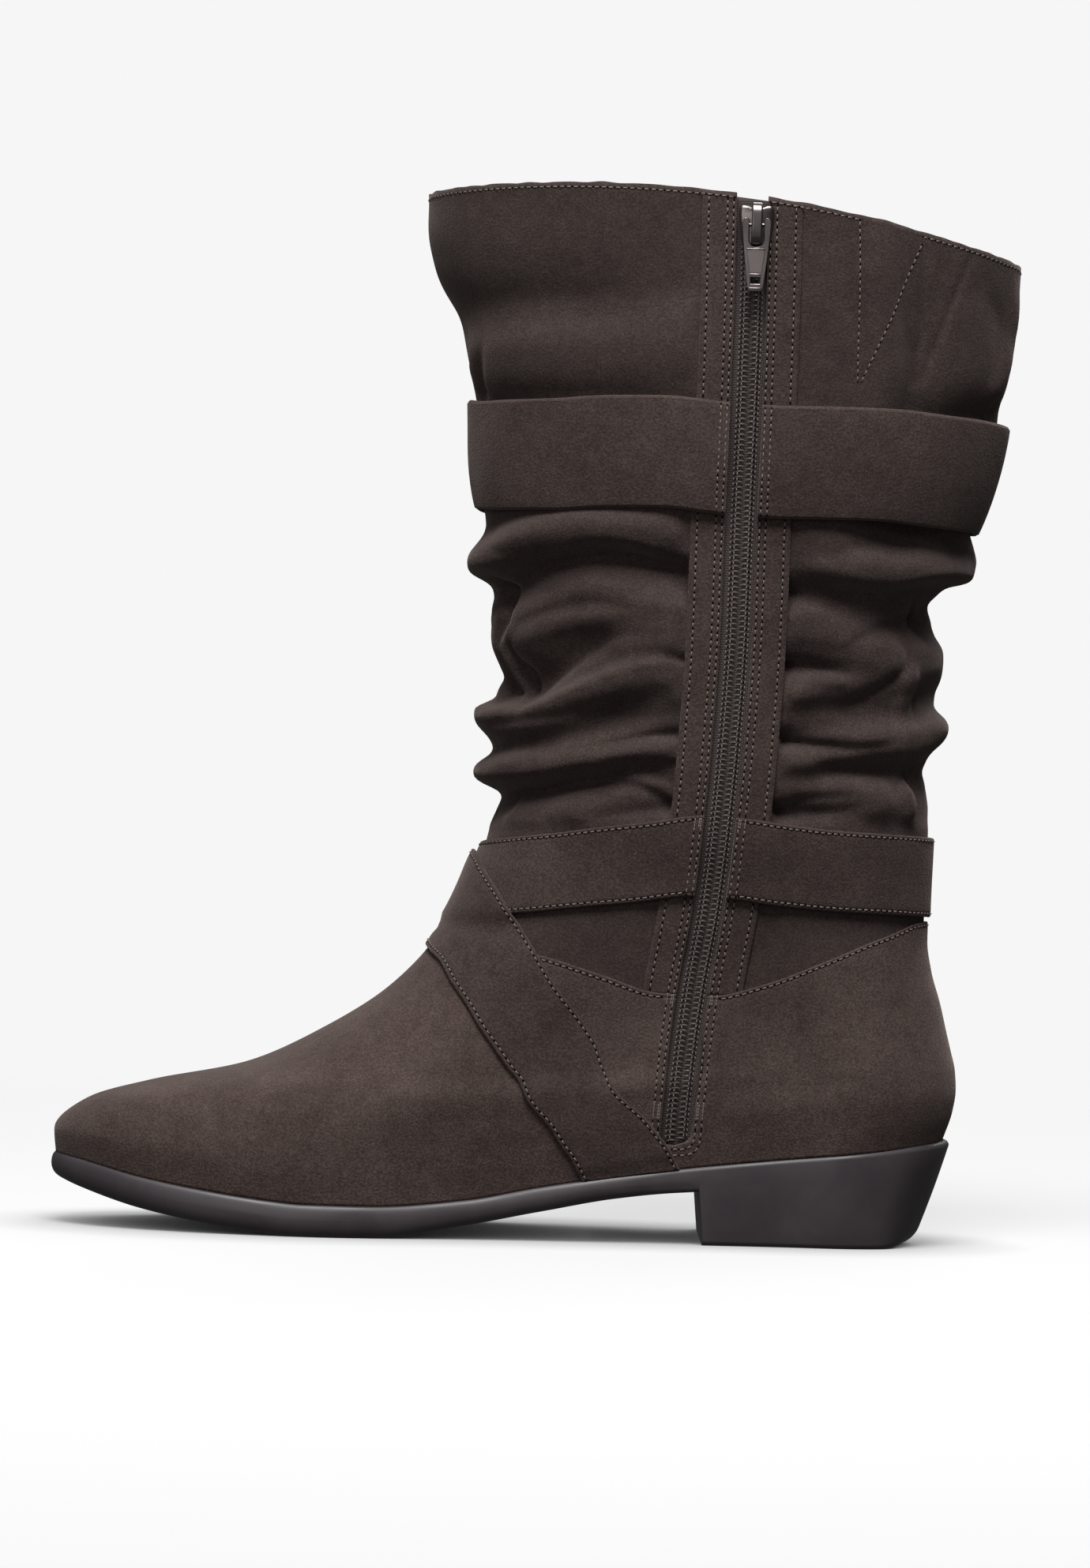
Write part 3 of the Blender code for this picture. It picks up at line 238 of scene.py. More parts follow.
# The shaft's soft folds: how wide each is above and below its line in millimetres, then its line as places,
# heights in millimetres and how far it stands out there as shares of FOLD_HEIGHT, negative for a trough
FOLDS = (
    (7, 6, ((0.46, 207, 0.2), (0.35, 211, 0.8), (0.24, 209, 1.0), (0.12, 204, 1.1), (0.0, 202, 1.25),
            (-0.25, 206, 1.0), (-0.5, 205, 0.4))),
    (5, 8, ((0.47, 195, -1.0), (0.42, 201, -0.9), (0.34, 204, -0.8), (0.26, 202, -0.7), (0.19, 199, -0.7),
            (0.10, 193, -0.7), (0.02, 192, -0.3))),
    (9, 12, ((0.44, 186, 0.5), (0.34, 189, 0.6), (0.24, 186, 0.6), (0.14, 181, 0.6), (0.0, 182, 0.45),
             (-0.2, 186, 0.3))),
    (13, 4, ((0.45, 182, -0.2), (0.36, 181, -0.5), (0.30, 176, -0.9), (0.23, 168, -1.1), (0.16, 163, -1.4),
             (0.06, 164, -1.2), (0.0, 167, -0.55), (-0.12, 170, -0.6), (-0.3, 180, -0.4))),
    (3, 8, ((0.46, 170, 0.5), (0.41, 171, 0.6), (0.36, 169, 0.8), (0.30, 164, 0.9), (0.23, 159, 1.0),
            (0.16, 156, 1.1), (0.06, 156, 1.2), (0.0, 157, 1.15), (-0.3, 160, 0.8), (-0.54, 170, 0.3))),
    (2.5, 5, ((0.475, 173, -0.9), (0.45, 173, -0.6), (0.41, 174, -0.1))),
    (7, 8, ((0.46, 166, -0.1), (0.41, 162, -0.3), (0.36, 157, -0.5), (0.30, 153, -0.5), (0.15, 148, -0.5),
            (0.02, 147, -0.2))),
    (4, 3, ((0.475, 151.5, -1.0), (0.42, 151, -0.6), (0.36, 150, -0.1))),
    (5, 5, ((0.45, 149, 0.4), (0.39, 148, 0.6), (0.33, 145.5, 0.8), (0.27, 143, 0.9), (0.20, 140.5, 0.9),
            (0.0, 138.5, 1.1), (-0.28, 142, 0.6), (-0.52, 152, 0.3))),
    (3, 7, ((0.45, 143, -0.2), (0.33, 138, -0.8), (0.20, 134, -0.9), (0.07, 132.5, -0.7), (0.0, 133, -0.6),
            (-0.26, 133, -0.6), (-0.5, 140, -0.3))),
    (5, 3, ((0.475, 130.5, -1.0), (0.42, 129, -0.7), (0.33, 126.5, -0.3))),
    (4, 9, ((0.40, 134, 0.25), (0.30, 131, 0.3), (0.16, 127, 0.25))),
    (2, 2, ((0.12, 181, 0.2), (0.10, 175, 0.45), (0.105, 168, 0.5), (0.14, 161, 0.3))),
    (3, 3, ((0.05, 196, -0.2), (0.09, 192, -0.6), (0.11, 186, -0.4), (0.10, 181, -0.2))),
    (8, 5, ((0.61, 206, 0.2), (0.68, 202, 0.7), (0.75, 201, 0.8), (0.82, 204, 1.0), (0.9, 205, 1.1),
            (1.0, 204.5, 1.3), (1.26, 203, 0.9), (1.52, 194, 0.3))),
    (4, 6, ((0.70, 217, -0.6), (0.78, 214, -1.2), (0.86, 211, -1.2), (0.94, 209, -0.8), (1.0, 208, -0.3))),
    (4, 5, ((0.605, 193.5, -0.9), (0.64, 193, -0.6), (0.70, 192, -0.2))),
    (6, 8, ((0.68, 188, -0.3), (0.75, 189, -0.5), (0.81, 186, -0.7), (0.9, 190, -0.9), (1.0, 192, -1.0),
            (1.22, 187, -0.7), (1.5, 182, -0.3))),
    (5, 8, ((0.62, 187, 0.3), (0.70, 182, 0.4), (0.79, 177, 0.3), (0.9, 176, 0.4), (1.0, 177, 0.4),
            (1.24, 172, 0.6), (1.48, 165, 0.3))),
    (4, 3, ((0.605, 171.5, -1.0), (0.64, 171, -0.6), (0.69, 172, -0.2))),
    (5, 6, ((0.62, 166, 0.5), (0.68, 167, 0.4), (0.74, 166, 0.2))),
    (6, 7, ((0.66, 162, -0.4), (0.73, 162, -0.6), (0.80, 160, -0.5), (0.9, 165, -0.4), (0.98, 168, -0.2))),
    (4, 3, ((0.605, 150.5, -1.0), (0.64, 150, -0.6), (0.70, 150.5, -0.2))),
    (5, 6, ((0.61, 146.5, 0.5), (0.67, 148.5, 0.6), (0.78, 151, 0.6), (0.87, 152.5, 0.7), (1.0, 156, 0.9),
            (1.26, 152, 0.6), (1.52, 163, 0.3))),
    (5, 6, ((0.67, 142, -0.5), (0.78, 143.5, -0.8), (0.87, 141, -0.7), (0.95, 143, -0.4), (1.04, 143, -0.5),
            (1.24, 142, -0.7), (1.5, 147, -0.3))),
    (4, 3, ((0.60, 129.5, -1.0), (0.65, 129.5, -0.7), (0.72, 131, -0.3))),
    (5, 6, ((0.62, 134, 0.3), (0.72, 135, 0.4), (0.84, 134, 0.3))),
    (5, 4, ((0.80, 175, 0.1), (0.82, 170, 0.4), (0.83, 164, 0.4), (0.83, 158, 0.1))),
    (4, 4, ((0.80, 146, 0.1), (0.84, 139, 0.4), (0.85, 131, 0.3))),
)

# The smaller creases that run off the main folds, told like them
CREASES = (
    (1.6, 2.2, ((0.440, 200.4, -0.12), (0.409, 202.1, -0.20), (0.373, 204.2, -0.18),
              (0.340, 205.9, -0.08))),
    (2.5, 2, ((0.443, 202.7, 0.10), (0.408, 204.7, 0.16), (0.372, 206.8, 0.14), (0.326, 208.5, 0.05))),
    (2, 2.6, ((0.456, 151.8, -0.30), (0.416, 151.0, -0.45), (0.369, 149.2, -0.42),
              (0.309, 147.0, -0.32), (0.233, 144.8, -0.15))),
    (1.8, 2.2, ((0.446, 129.9, -0.25), (0.419, 133.6, -0.30), (0.381, 136.2, -0.25),
              (0.322, 137.3, -0.20), (0.254, 137.4, -0.08))),
    (2, 2, ((0.448, 135.1, -0.10), (0.423, 138.7, -0.20), (0.390, 140.7, -0.18), (0.351, 141.6, -0.08))),
    (2.5, 2, ((0.449, 132.5, 0.10), (0.419, 136.1, 0.20), (0.381, 138.6, 0.20), (0.321, 139.8, 0.12))),
    (2, 2, ((0.072, 196.1, -0.25), (0.115, 190.4, -0.35), (0.095, 184.3, -0.30), (0.066, 178.7, -0.15))),
    (2.5, 3, ((0.167, 183.7, -0.12), (0.247, 187.9, -0.25), (0.315, 189.6, -0.22), (0.374, 188.1, -0.10))),
    (3, 3, ((0.175, 179.9, 0.10), (0.259, 183.6, 0.20), (0.325, 184.9, 0.16))),
    (2, 2, ((0.144, 161.5, -0.30), (0.158, 168.0, -0.40), (0.123, 173.3, -0.30), (0.109, 178.6, -0.10))),
    (2, 2.5, ((0.015, 152.1, -0.15), (0.162, 154.0, -0.30), (0.250, 156.1, -0.30),
              (0.317, 158.7, -0.20), (0.376, 162.4, -0.10))),
    (3, 3, ((0.629, 206.0, -0.10), (0.683, 208.4, -0.20), (0.743, 210.8, -0.20), (0.829, 214.6, -0.10))),
    (1.5, 2.2, ((0.604, 173.6, -0.35), (0.632, 173.2, -0.35), (0.668, 172.0, -0.25),
              (0.707, 170.5, -0.10))),
    (2, 2.5, ((0.609, 171.3, 0.15), (0.638, 170.6, 0.20), (0.679, 169.2, 0.15))),
    (2, 2.5, ((0.687, 178.8, -0.10), (0.730, 182.9, -0.25), (0.780, 185.5, -0.25), (0.830, 186.4, -0.10))),
    (1.6, 2.4, ((0.605, 149.8, -0.40), (0.654, 149.5, -0.40), (0.709, 149.1, -0.30),
              (0.778, 150.2, -0.12))),
    (2, 2.5, ((0.710, 162.1, -0.12), (0.757, 166.1, -0.30), (0.802, 171.5, -0.35),
              (0.821, 176.9, -0.25), (0.806, 181.0, -0.10))),
    (2.5, 2.5, ((0.656, 143.6, -0.10), (0.711, 142.4, -0.20), (0.775, 141.2, -0.20),
              (0.850, 143.0, -0.10))),
    (1.6, 2.2, ((0.601, 128.6, -0.25), (0.621, 132.1, -0.25), (0.659, 134.2, -0.20),
              (0.714, 134.5, -0.08))),
    (2, 2, ((0.800, 136.2, -0.12), (0.837, 140.1, -0.25), (0.885, 142.7, -0.20))),
    (1.8, 1.8, ((0.832, 193.1, -0.20), (0.857, 186.6, -0.30), (0.884, 182.6, -0.10))),
)

# Soft forms of the leg above the band, told like the folds
LEG_FORMS = (
    (15, 15, ((0.3, 290, 0.1), (0.12, 293, 0.4), (0.0, 294, 0.62), (-0.12, 293, 0.4), (-0.3, 290, 0.1))),
    (1.0, 1.0, ((0.7265, 303, -0.05), (0.7262, 281, -0.16), (0.723, 258, -0.1))),
    (1.0, 1.0, ((0.805, 298, -0.05), (0.774, 283, -0.16), (0.73, 258, -0.1))),
    (6, 6, ((0.765, 303, -0.12), (0.748, 283, -0.2), (0.735, 268, -0.15))),
    (9, 8, ((0.46, 286, -0.05), (0.38, 281, -0.25), (0.25, 279, -0.42), (0.1, 278, -0.3), (0.0, 276, -0.15))),
    (8, 11, ((0.47, 272, 0.1), (0.36, 264, 0.42), (0.22, 263, 0.45), (0.08, 261, 0.25))),
    (4, 6, ((0.45, 248, -0.25), (0.33, 246, -0.5), (0.18, 247, -0.5), (0.05, 252, -0.3))),
    (3, 3, ((0.12, 266, -0.1), (0.08, 257, -0.4), (0.05, 250, -0.4))),
    (5, 5, ((0.655, 303, 0.05), (0.66, 285, 0.35), (0.675, 262, 0.45), (0.68, 240, 0.35))),
    (6, 6, ((0.705, 300, -0.05), (0.705, 280, -0.2), (0.715, 258, -0.35), (0.72, 242, -0.4))),
    (7, 7, ((0.74, 246, -0.4), (0.84, 248, -0.75), (0.92, 250, -0.7), (1.0, 253, -0.3))),
    (7, 9, ((0.83, 286, -0.15), (0.9, 276, -0.3), (0.97, 268, -0.1))),
    (5, 5, ((0.93, 292, 0.1), (0.925, 275, 0.4), (0.90, 258, 0.4))),
    (9, 9, ((1.1, 252, -0.3), (1.35, 250, -0.5), (1.6, 250, -0.4), (1.85, 256, -0.2))),
    (12, 12, ((1.2, 285, 0.2), (1.5, 290, 0.4), (1.8, 284, 0.2))),
)

# Heights in shares of COLLAR_HEIGHT over which the folds fade out under the ankle strap and under the band
FOLD_FOOT = (0.385, 0.405)
FOLD_TOP = (0.688, 0.715)

# The stretch gore's two seams on the inner side and where the collar's row stops at them, as x and height in
# millimetres
GORE_LINES = (
    ((10.7, 304.6), (11.2, 281.4), (11.6, 257.0)),
    ((29.9, 298.6), (23.6, 282.9), (17.1, 268.5), (12.6, 257.0)),
)
GORE_TOPS = ((10.9, 303.0), (30.2, 298.0))

# A spot on the line across the boot on which the slider's pull turns
PULL_AXIS = (-19.87 * MM, -51.28 * MM, 301.66 * MM)

# Half of the slider's shield from its top middle down, and half of the pull from the top of its arm down, as
# distances to the right of and above the pull's axis in millimetres
SHIELD = ((0, 5.1), (1.5, 5.2), (3.0, 5.8), (4.3, 5.8), (5.0, 5.2), (5.2, 3.8), (5.05, 1.5), (4.7, -1.5),
          (4.4, -4.0), (4.1, -5.4), (3.5, -6.2), (2.5, -6.5), (0, -6.5))
PULL_EDGE = ((2.25, 1.2), (2.5, 1.85), (3.05, 2.1), (3.7, 1.9), (4.15, 1.3), (4.25, 0.2), (4.05, -3.0),
             (3.7, -6.7), (3.25, -11.0), (2.8, -15.0), (2.4, -18.2), (2.15, -19.1), (1.6, -19.5))
# The crown's middle line seen from the side, as heights over the pull's axis and distances out of it
CROWN = ((-5.6, -1.7), (-5.7, -0.5), (-5.4, 0.6), (-4.6, 1.3), (-3.4, 1.6), (0.0, 1.75), (3.4, 1.65),
         (4.9, 1.3), (5.8, 0.5), (6.1, -0.5), (6.1, -1.7))
CROWN_SECTION = ((-1.55, -0.2), (-1.3, -0.45), (1.3, -0.45), (1.55, -0.2), (1.55, 0.2), (1.3, 0.45),
                 (-1.3, 0.45), (-1.55, 0.2))

# How far in and out the shield's rings lie from its front face to its back, in millimetres
SHIELD_RINGS = ((1.0, -1.5), (0.45, -1.65), (0.0, -2.05), (0.0, -2.75))

# The pull's window for the crown (half width, middle of its round foot, depth of that foot), its hole, and its
# blank panel and bars with how high they stand
PULL_WINDOW = (2.25, -4.4, 2.2)
PULL_HOLE = ((-1.55, -15.5), (1.55, -15.5), (1.45, -17.4), (-1.45, -17.4))
PULL_RELIEF = (
    (((-2.65, -7.4), (2.65, -7.4), (1.85, -14.3), (-1.85, -14.3)), 0.62),
    (((-2.8, -6.95), (2.8, -6.95), (2.75, -7.35), (-2.75, -7.35)), 0.85),
    (((-1.9, -14.4), (1.9, -14.4), (1.85, -14.8), (-1.85, -14.8)), 0.85),
    (((-1.95, -18.5), (1.95, -18.5), (1.85, -19.0), (-1.85, -19.0)), 0.8),
)

# Colours, linear
SUEDE_DARK = (0.0270, 0.0158, 0.0132)
SUEDE_LIGHT = (0.0560, 0.0385, 0.0335)
# Colour of the painted glints on the suede's nap
NAP_PAINTED_GLINT = (0.20, 0.160, 0.145)
THREAD = (0.150, 0.120, 0.108)
# Near-black of the needle holes, painted shade inside each hole
HOLE = (0.0045, 0.0032, 0.0028)
SOLE_BLACK = (0.0350, 0.0285, 0.0320)
SOLE_GREY = (0.055, 0.047, 0.051)
LINING_DARK = (0.020, 0.016, 0.0145)
LINING_LIGHT = (0.040, 0.033, 0.030)
TAPE_DARK = (0.020, 0.0130, 0.0112)
TAPE_LIGHT = (0.050, 0.038, 0.034)
COIL_COLOUR = (0.085, 0.068, 0.062)
GUNMETAL = (0.115, 0.10, 0.096)


def through(places, values, at):
    """Reads a smooth curve through values at rising places, with no overshoot between them."""
    places = np.asarray(places, float)
    values = np.asarray(values, float)
    at = np.asarray(at, float)
    step = np.diff(places)
    slope = np.diff(values) / step
    tangent = np.zeros(len(values))
    tangent[0] = slope[0]
    tangent[-1] = slope[-1]
    for k in range(1, len(values) - 1):
        if slope[k - 1] * slope[k] > 0:
            tangent[k] = 2 * slope[k - 1] * slope[k] / (slope[k - 1] + slope[k])
    k = np.clip(np.searchsorted(places, at) - 1, 0, len(step) - 1)
    f = np.clip((at - places[k]) / step[k], 0, 1)
    start = (1 + 2 * f) * (1 - f) ** 2 * values[k] + f * (1 - f) ** 2 * step[k] * tangent[k]
    return start + f**2 * (3 - 2 * f) * values[k + 1] + f**2 * (f - 1) * step[k] * tangent[k + 1]


def ease(low, high, at):
    """Rises smoothly from 0 at low to 1 at high."""
    f = np.clip((at - low) / (high - low), 0, 1)
    return f * f * (3 - 2 * f)


def unit(vectors):
    """The vectors at length 1."""
    return vectors / np.linalg.norm(vectors, axis=-1, keepdims=True)


def section_columns():
    """The girth lines in metres: front x, z, back x, z, three widths, two rounds and three shares."""
    foot = np.array(FOOT_SECTIONS)
    shaft = np.array(SHAFT_SECTIONS)
    toe_height = SOLE_LINE[0][1] * SEAT_HEIGHT
    foot_sizes = (TOE_REACH, INSTEP_HEIGHT - toe_height, HEEL_REACH, INSTEP_HEIGHT - SEAT_HEIGHT)
    foot_sizes += (BALL_WIDTH, BALL_WIDTH, SEAT_WIDTH, BALL_WIDTH, BALL_WIDTH)
    foot_starts = (0, toe_height, 0, SEAT_HEIGHT) + 5 * (0,)
    shaft_sizes = (SHAFT_FRONT, COLLAR_HEIGHT, SHAFT_BACK, COLLAR_HEIGHT) + 5 * (SHAFT_WIDTH,)
    sizes = np.vstack([foot[:, :9] * foot_sizes + foot_starts, shaft[:, :9] * shaft_sizes])
    none_in_shaft = np.zeros(len(shaft))
    dip = np.concatenate([foot[:, 9], none_in_shaft])
    swing = np.concatenate([foot[:, 10], none_in_shaft])
    arch = np.concatenate([np.zeros(len(foot)), shaft[:, 9]])
    return np.column_stack([sizes, dip, swing, arch])


SECTIONS = section_columns()
SECTION_PLACES = np.linspace(0, 1, len(SECTIONS))


def sole_top(along):
    """Height of the sole's top edge at a share of its length from the toe."""
    line = np.array(SOLE_LINE)
    return through(line[:, 0], line[:, 1] * SEAT_HEIGHT, along)


def sole_bottom(along):
    """Height of the sole's underside, without the heel."""
    line = np.array(SOLE_LINE)
    return through(line[:, 0], line[:, 2] * TOE_SPRING, along)


def girth_share(place):
    """Side (-1 inner, 1 outer) and share from the back line to the front line of places round the boot."""
    place = np.mod(place, 2)
    inner = place <= 1
    return np.where(inner, -1.0, 1.0), np.where(inner, 1 - place, place - 1)


def upper_point(place, up):
    """Spots on the upper without folds. up runs from 0 at the feather edge to 1 at the collar."""
    place, up = np.broadcast_arrays(np.asarray(place, float), np.asarray(up, float))
    side, girth = girth_share(place)
    columns = [through(SECTION_PLACES, SECTIONS[:, k], up) for k in range(SECTIONS.shape[1])]
    front_x, front_z, back_x, back_z, ball, waist, seat, front_round, back_round, dip, swing, arch = columns
    along = (1 + np.cos(math.pi * girth)) / 2
    depth = front_x + back_x
    x = -front_x + along * depth
    straight = sole_top(0.0) + along * (sole_top(1.0) - sole_top(0.0))
    z = front_z + along * (back_z - front_z) + dip * (sole_top(along) - straight) + FEATHER_GAP
    z = z + arch * COLLAR_ARCH * np.sin(math.pi * along)
    low, middle, high = WIDTH_PLACES
    fore = ease(low, middle, along)
    rear = ease(middle, high, along)
    width = ball + (waist - ball) * fore + (seat - waist) * rear
    front_reach = np.clip(1 - along * depth / front_round, 0, 1)
    back_reach = np.clip(1 - (1 - along) * depth / back_round, 0, 1)
    half = width / 2 * np.sqrt(1 - front_reach**2) * np.sqrt(1 - back_reach**2)
    line = np.array(CENTRE_LINE)
    centre = swing * TOE_SWING * through(line[:, 0], line[:, 1], along)
    return np.stack([x, centre + side * half, z], axis=-1)


def out_of(place, up):
    """The direction out of the upper without folds."""
    step = 0.004
    ahead = upper_point(place + step, up) - upper_point(place - step, up)
    above = upper_point(place, np.minimum(up + step, 1)) - upper_point(place, np.maximum(up - step, 0))
    return unit(np.cross(ahead, above))


FINE_UPS = np.linspace(0, 1, 401)
FINE_PLACES = np.linspace(0, 2, 481)
FINE_HEIGHTS = upper_point(FINE_PLACES[None, :], FINE_UPS[:, None])[..., 2]


def height_of(place, up):
    """Height of the upper at places and shares of the way up, read from a fine grid."""
    column = np.mod(place, 2) / 2 * (len(FINE_PLACES) - 1)
    row = np.clip(up, 0, 1) * (len(FINE_UPS) - 1)
    c = np.minimum(column.astype(int), len(FINE_PLACES) - 2)
    r = np.minimum(row.astype(int), len(FINE_UPS) - 2)
    fc, fr = column - c, row - r
    low = FINE_HEIGHTS[r, c] * (1 - fc) + FINE_HEIGHTS[r, c + 1] * fc
    high = FINE_HEIGHTS[r + 1, c] * (1 - fc) + FINE_HEIGHTS[r + 1, c + 1] * fc
    return low * (1 - fr) + high * fr


def up_of(place, height):
    """The share of the way up at which the upper has a height."""
    place, height = np.broadcast_arrays(np.asarray(place, float), np.asarray(height, float))
    low, high = np.zeros(place.shape), np.ones(place.shape)
    for _ in range(20):
        middle = (low + high) / 2
        below = height_of(place, middle) < height
        low = np.where(below, middle, low)
        high = np.where(below, high, middle)
    return (low + high) / 2


def place_of_x(x, up):
    """The place on the inner side at which the girth line passes an x."""
    front = through(SECTION_PLACES, SECTIONS[:, 0], up)
    back = through(SECTION_PLACES, SECTIONS[:, 2], up)
    along = np.clip((x + front) / (front + back), 0, 1)
    return 1 - np.arccos(2 * along - 1) / math.pi


def spot_on_inner_side(x, height):
    """The place and the share up of spots on the inner side seen at an x and a height."""
    place = np.full(np.broadcast(x, height).shape, 0.5)
    for _ in range(12):
        up = up_of(place, height)
        place = place_of_x(x, up)
    return place, up


def zip_x(height):
    """The x of the zip's middle at a height."""
    line = np.array(ZIP_LINE)
    return -through(line[:, 0] * COLLAR_HEIGHT, line[:, 1] * SHAFT_FRONT, height)


def zip_half_gap(height):
    """Half the width of the opening along the zip, with round corners at its foot."""
    rise = np.clip((height - ZIP_FOOT) / (2.8 * MM), 0, 1)
    return ZIP_GAP / 2 * np.sqrt(1 - (1 - rise) ** 3)


def beside_zip(place, height, x):
    """How far spots lie beside the zip's middle. The outer side counts as a metre away."""
    return np.where(girth_share(place)[0] < 0, np.abs(x - zip_x(height)), 1.0)


def line_height(kind, place):
    """Height of a line round the upper: 1 the cover's top edge, 2 the ankle strap's middle, 3 the band's."""
    lines = np.array(GIRTH_LINES)
    return through(lines[:, 0], lines[:, kind], girth_share(place)[1]) * COLLAR_HEIGHT


def waves(place, height, length, seed):
    """Slow, irregular waves from -1 to 1 over the upper, at about one length."""
    around = np.cos(math.pi * place), np.sin(math.pi * place)
    turns = np.random.default_rng(seed)
    total = np.zeros(np.broadcast(place, height).shape)
    for _ in range(7):
        a, b, c = turns.normal(0, 1, 3)
        phase = turns.uniform(0, 2 * math.pi)
        reach = SHAFT_WIDTH / 2 / length
        turn = a * around[0] * reach + b * around[1] * reach + c * height / length
        total = total + np.sin(2 * turn + phase)
    return total / 7**0.5 / 1.5


def stands_out(table, place, height):
    """How far the folds of a table push the shaft out at its places and heights, as a share of FOLD_HEIGHT."""
    rise = np.zeros(np.broadcast(place, height).shape)
    for above, below, knots in table:
        knots = np.array(knots)
        shares = np.linspace(0, 1, len(knots))
        fine = np.linspace(0, 1, 4 * len(knots))
        line = np.column_stack([through(shares, knots[:, k], fine) for k in range(3)])
        nearest = np.full(rise.shape, np.inf)
        offset = np.zeros(rise.shape)
        stands = np.zeros(rise.shape)
        for (p0, z0, s0), (p1, z1, s1) in zip(line, line[1:]):
            along = (np.mod(place - p0 + 1, 2) - 1) * HALF_GIRTH
            level = height - z0 * MM
            run = np.array([(p1 - p0) * HALF_GIRTH, (z1 - z0) * MM])
            f = np.clip((along * run[0] + level * run[1]) / (run @ run), 0, 1)
            gap = level - f * run[1]
            away = (along - f * run[0]) ** 2 + gap**2
            closer = away < nearest
            offset = np.where(closer, gap, offset)
            stands = np.where(closer, s0 + f * (s1 - s0), stands)
            nearest = np.minimum(nearest, away)
        lean = ease(-1.5 * MM, 1.5 * MM, offset)
        width = (below + (above - below) * lean) * MM
        away = np.sqrt(nearest) / width
        round_top = np.exp(-(away**3))
        crisp_foot = np.exp(0.3 - np.sqrt(away**2 + 0.09) - 0.25 * away**2)
        rise += stands * np.where(stands > 0, round_top, crisp_foot)
    return rise


def fold_rise(place, height, x):
    """How far the folds push the shaft out, flat along the zip and under the straps."""
    rise = stands_out(FOLDS, place, height) + stands_out(CREASES, place, height)
    rise += 0.12 * (np.abs(waves(place, 3 * height, 34 * MM, 3)) - 0.5)
    rise += 0.07 * (np.abs(waves(place, 3 * height, 17 * MM, 5)) - 0.5) + 0.02 * waves(place, height, 5 * MM, 7)
    rise *= ease(FOLD_FOOT[0] * COLLAR_HEIGHT, FOLD_FOOT[1] * COLLAR_HEIGHT, height)
    rise *= 1 - ease(FOLD_TOP[0] * COLLAR_HEIGHT, FOLD_TOP[1] * COLLAR_HEIGHT, height)
    band_top = line_height(3, place) + BAND_WIDTH / 2
    rise += stands_out(LEG_FORMS, place, height) * ease(band_top - 8 * MM, band_top, height)
    beside = beside_zip(place, height, x)
    edge = ZIP_GAP / 2 + GUARD_WIDTH
    out = ease(edge - 0.5 * MM, edge + 5 * MM, beside)
    sunk = ease(edge - 2.5 * MM, edge + 0.5 * MM, beside)
    return FOLD_HEIGHT * np.where(rise > 0, rise * out, rise * sunk)


def raised(place, up, lift):
    """Points at a lift over the upper without folds, and the directions out of it."""
    normals = out_of(place, up)
    return upper_point(place, up) + normals * np.asarray(lift, float)[..., None], normals


def seat(place, height, lift):
    """The same from places and heights."""
    return raised(place, up_of(place, height), lift)


def surface_mesh(name, points, closed=False, left_out=()):
    """A mesh of quads through a grid of points, with the listed columns of faces left out."""
    rows, columns = points.shape[:2]
    spots = np.arange(rows * columns).reshape(rows, columns)
    if closed:
        spots = np.concatenate([spots, spots[:, :1]], axis=1)
    quads = np.stack([spots[:-1, :-1], spots[:-1, 1:], spots[1:, 1:], spots[1:, :-1]], axis=-1)
    kept = [c for c in range(quads.shape[1]) if c not in left_out]
    mesh = bpy.data.meshes.new(name)
    mesh.from_pydata(points.reshape(-1, 3).tolist(), [], quads[:, kept].reshape(-1, 4).tolist())
    mesh.update()
    return mesh


def welded(mesh, distance=0.02 * MM):
    """The mesh with points that meet made one."""
    shape = bmesh.new()
    shape.from_mesh(mesh)
    bmesh.ops.remove_doubles(shape, verts=shape.verts, dist=distance)
    bmesh.ops.dissolve_degenerate(shape, edges=shape.edges, dist=distance)
    shape.to_mesh(mesh)
    shape.free()
    return mesh


def mesh_of(name, shape):
    """The mesh of a closed body, its faces turned outwards."""
    bmesh.ops.recalc_face_normals(shape, faces=shape.faces)
    mesh = bpy.data.meshes.new(name)
    shape.to_mesh(mesh)
    shape.free()
    return mesh


def join_rings(shape, rings):
    """Adds the faces between rings of points, one after the other."""
    total = len(rings[0])
    for high, low in zip(rings, rings[1:]):
        for k in range(total):
            after = (k + 1) % total
            shape.faces.new((high[k], high[after], low[after], low[k]))


def tube_faces(rings, sides):
    """Faces of a closed tube, as numbers of its points, from rings of as many points each."""
    faces = []
    for ring in range(rings - 1):
        for k in range(sides):
            after = (k + 1) % sides
            low, high = ring * sides, (ring + 1) * sides
            faces.append((low + k, low + after, high + after, high + k))
    last = (rings - 1) * sides
    faces.append(tuple(range(sides - 1, -1, -1)))
    faces.append(tuple(range(last, last + sides)))
    return faces


def put_in_scene(name, data):
    """A new object in the scene."""
    thing = bpy.data.objects.new(name, data)
    bpy.context.scene.collection.objects.link(thing)
    return thing


def add_piece(name, mesh, materials, body="boot", slot=None, stands_for=(), smooth=50):
    """Puts a mesh in the scene as a piece that rides on a body."""
    piece = put_in_scene(name, mesh)
    for finish in materials:
        mesh.materials.append(finish)
    mesh.shade_smooth()
    mesh.set_sharp_from_angle(angle=math.radians(smooth))
    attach(piece, body)
    if stands_for:
        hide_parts(*stands_for)
    return piece


def thicken(piece, thickness, outside, inner_material=0):
    """Gives a surface its real thickness, outwards or inwards."""
    solid = piece.modifiers.new("wall", "SOLIDIFY")
    solid.thickness = thickness
    solid.offset = 1 if outside else -1
    solid.material_offset = inner_material


def link(tree, start, end):
    """Joins two sockets."""
    tree.links.new(start, end)


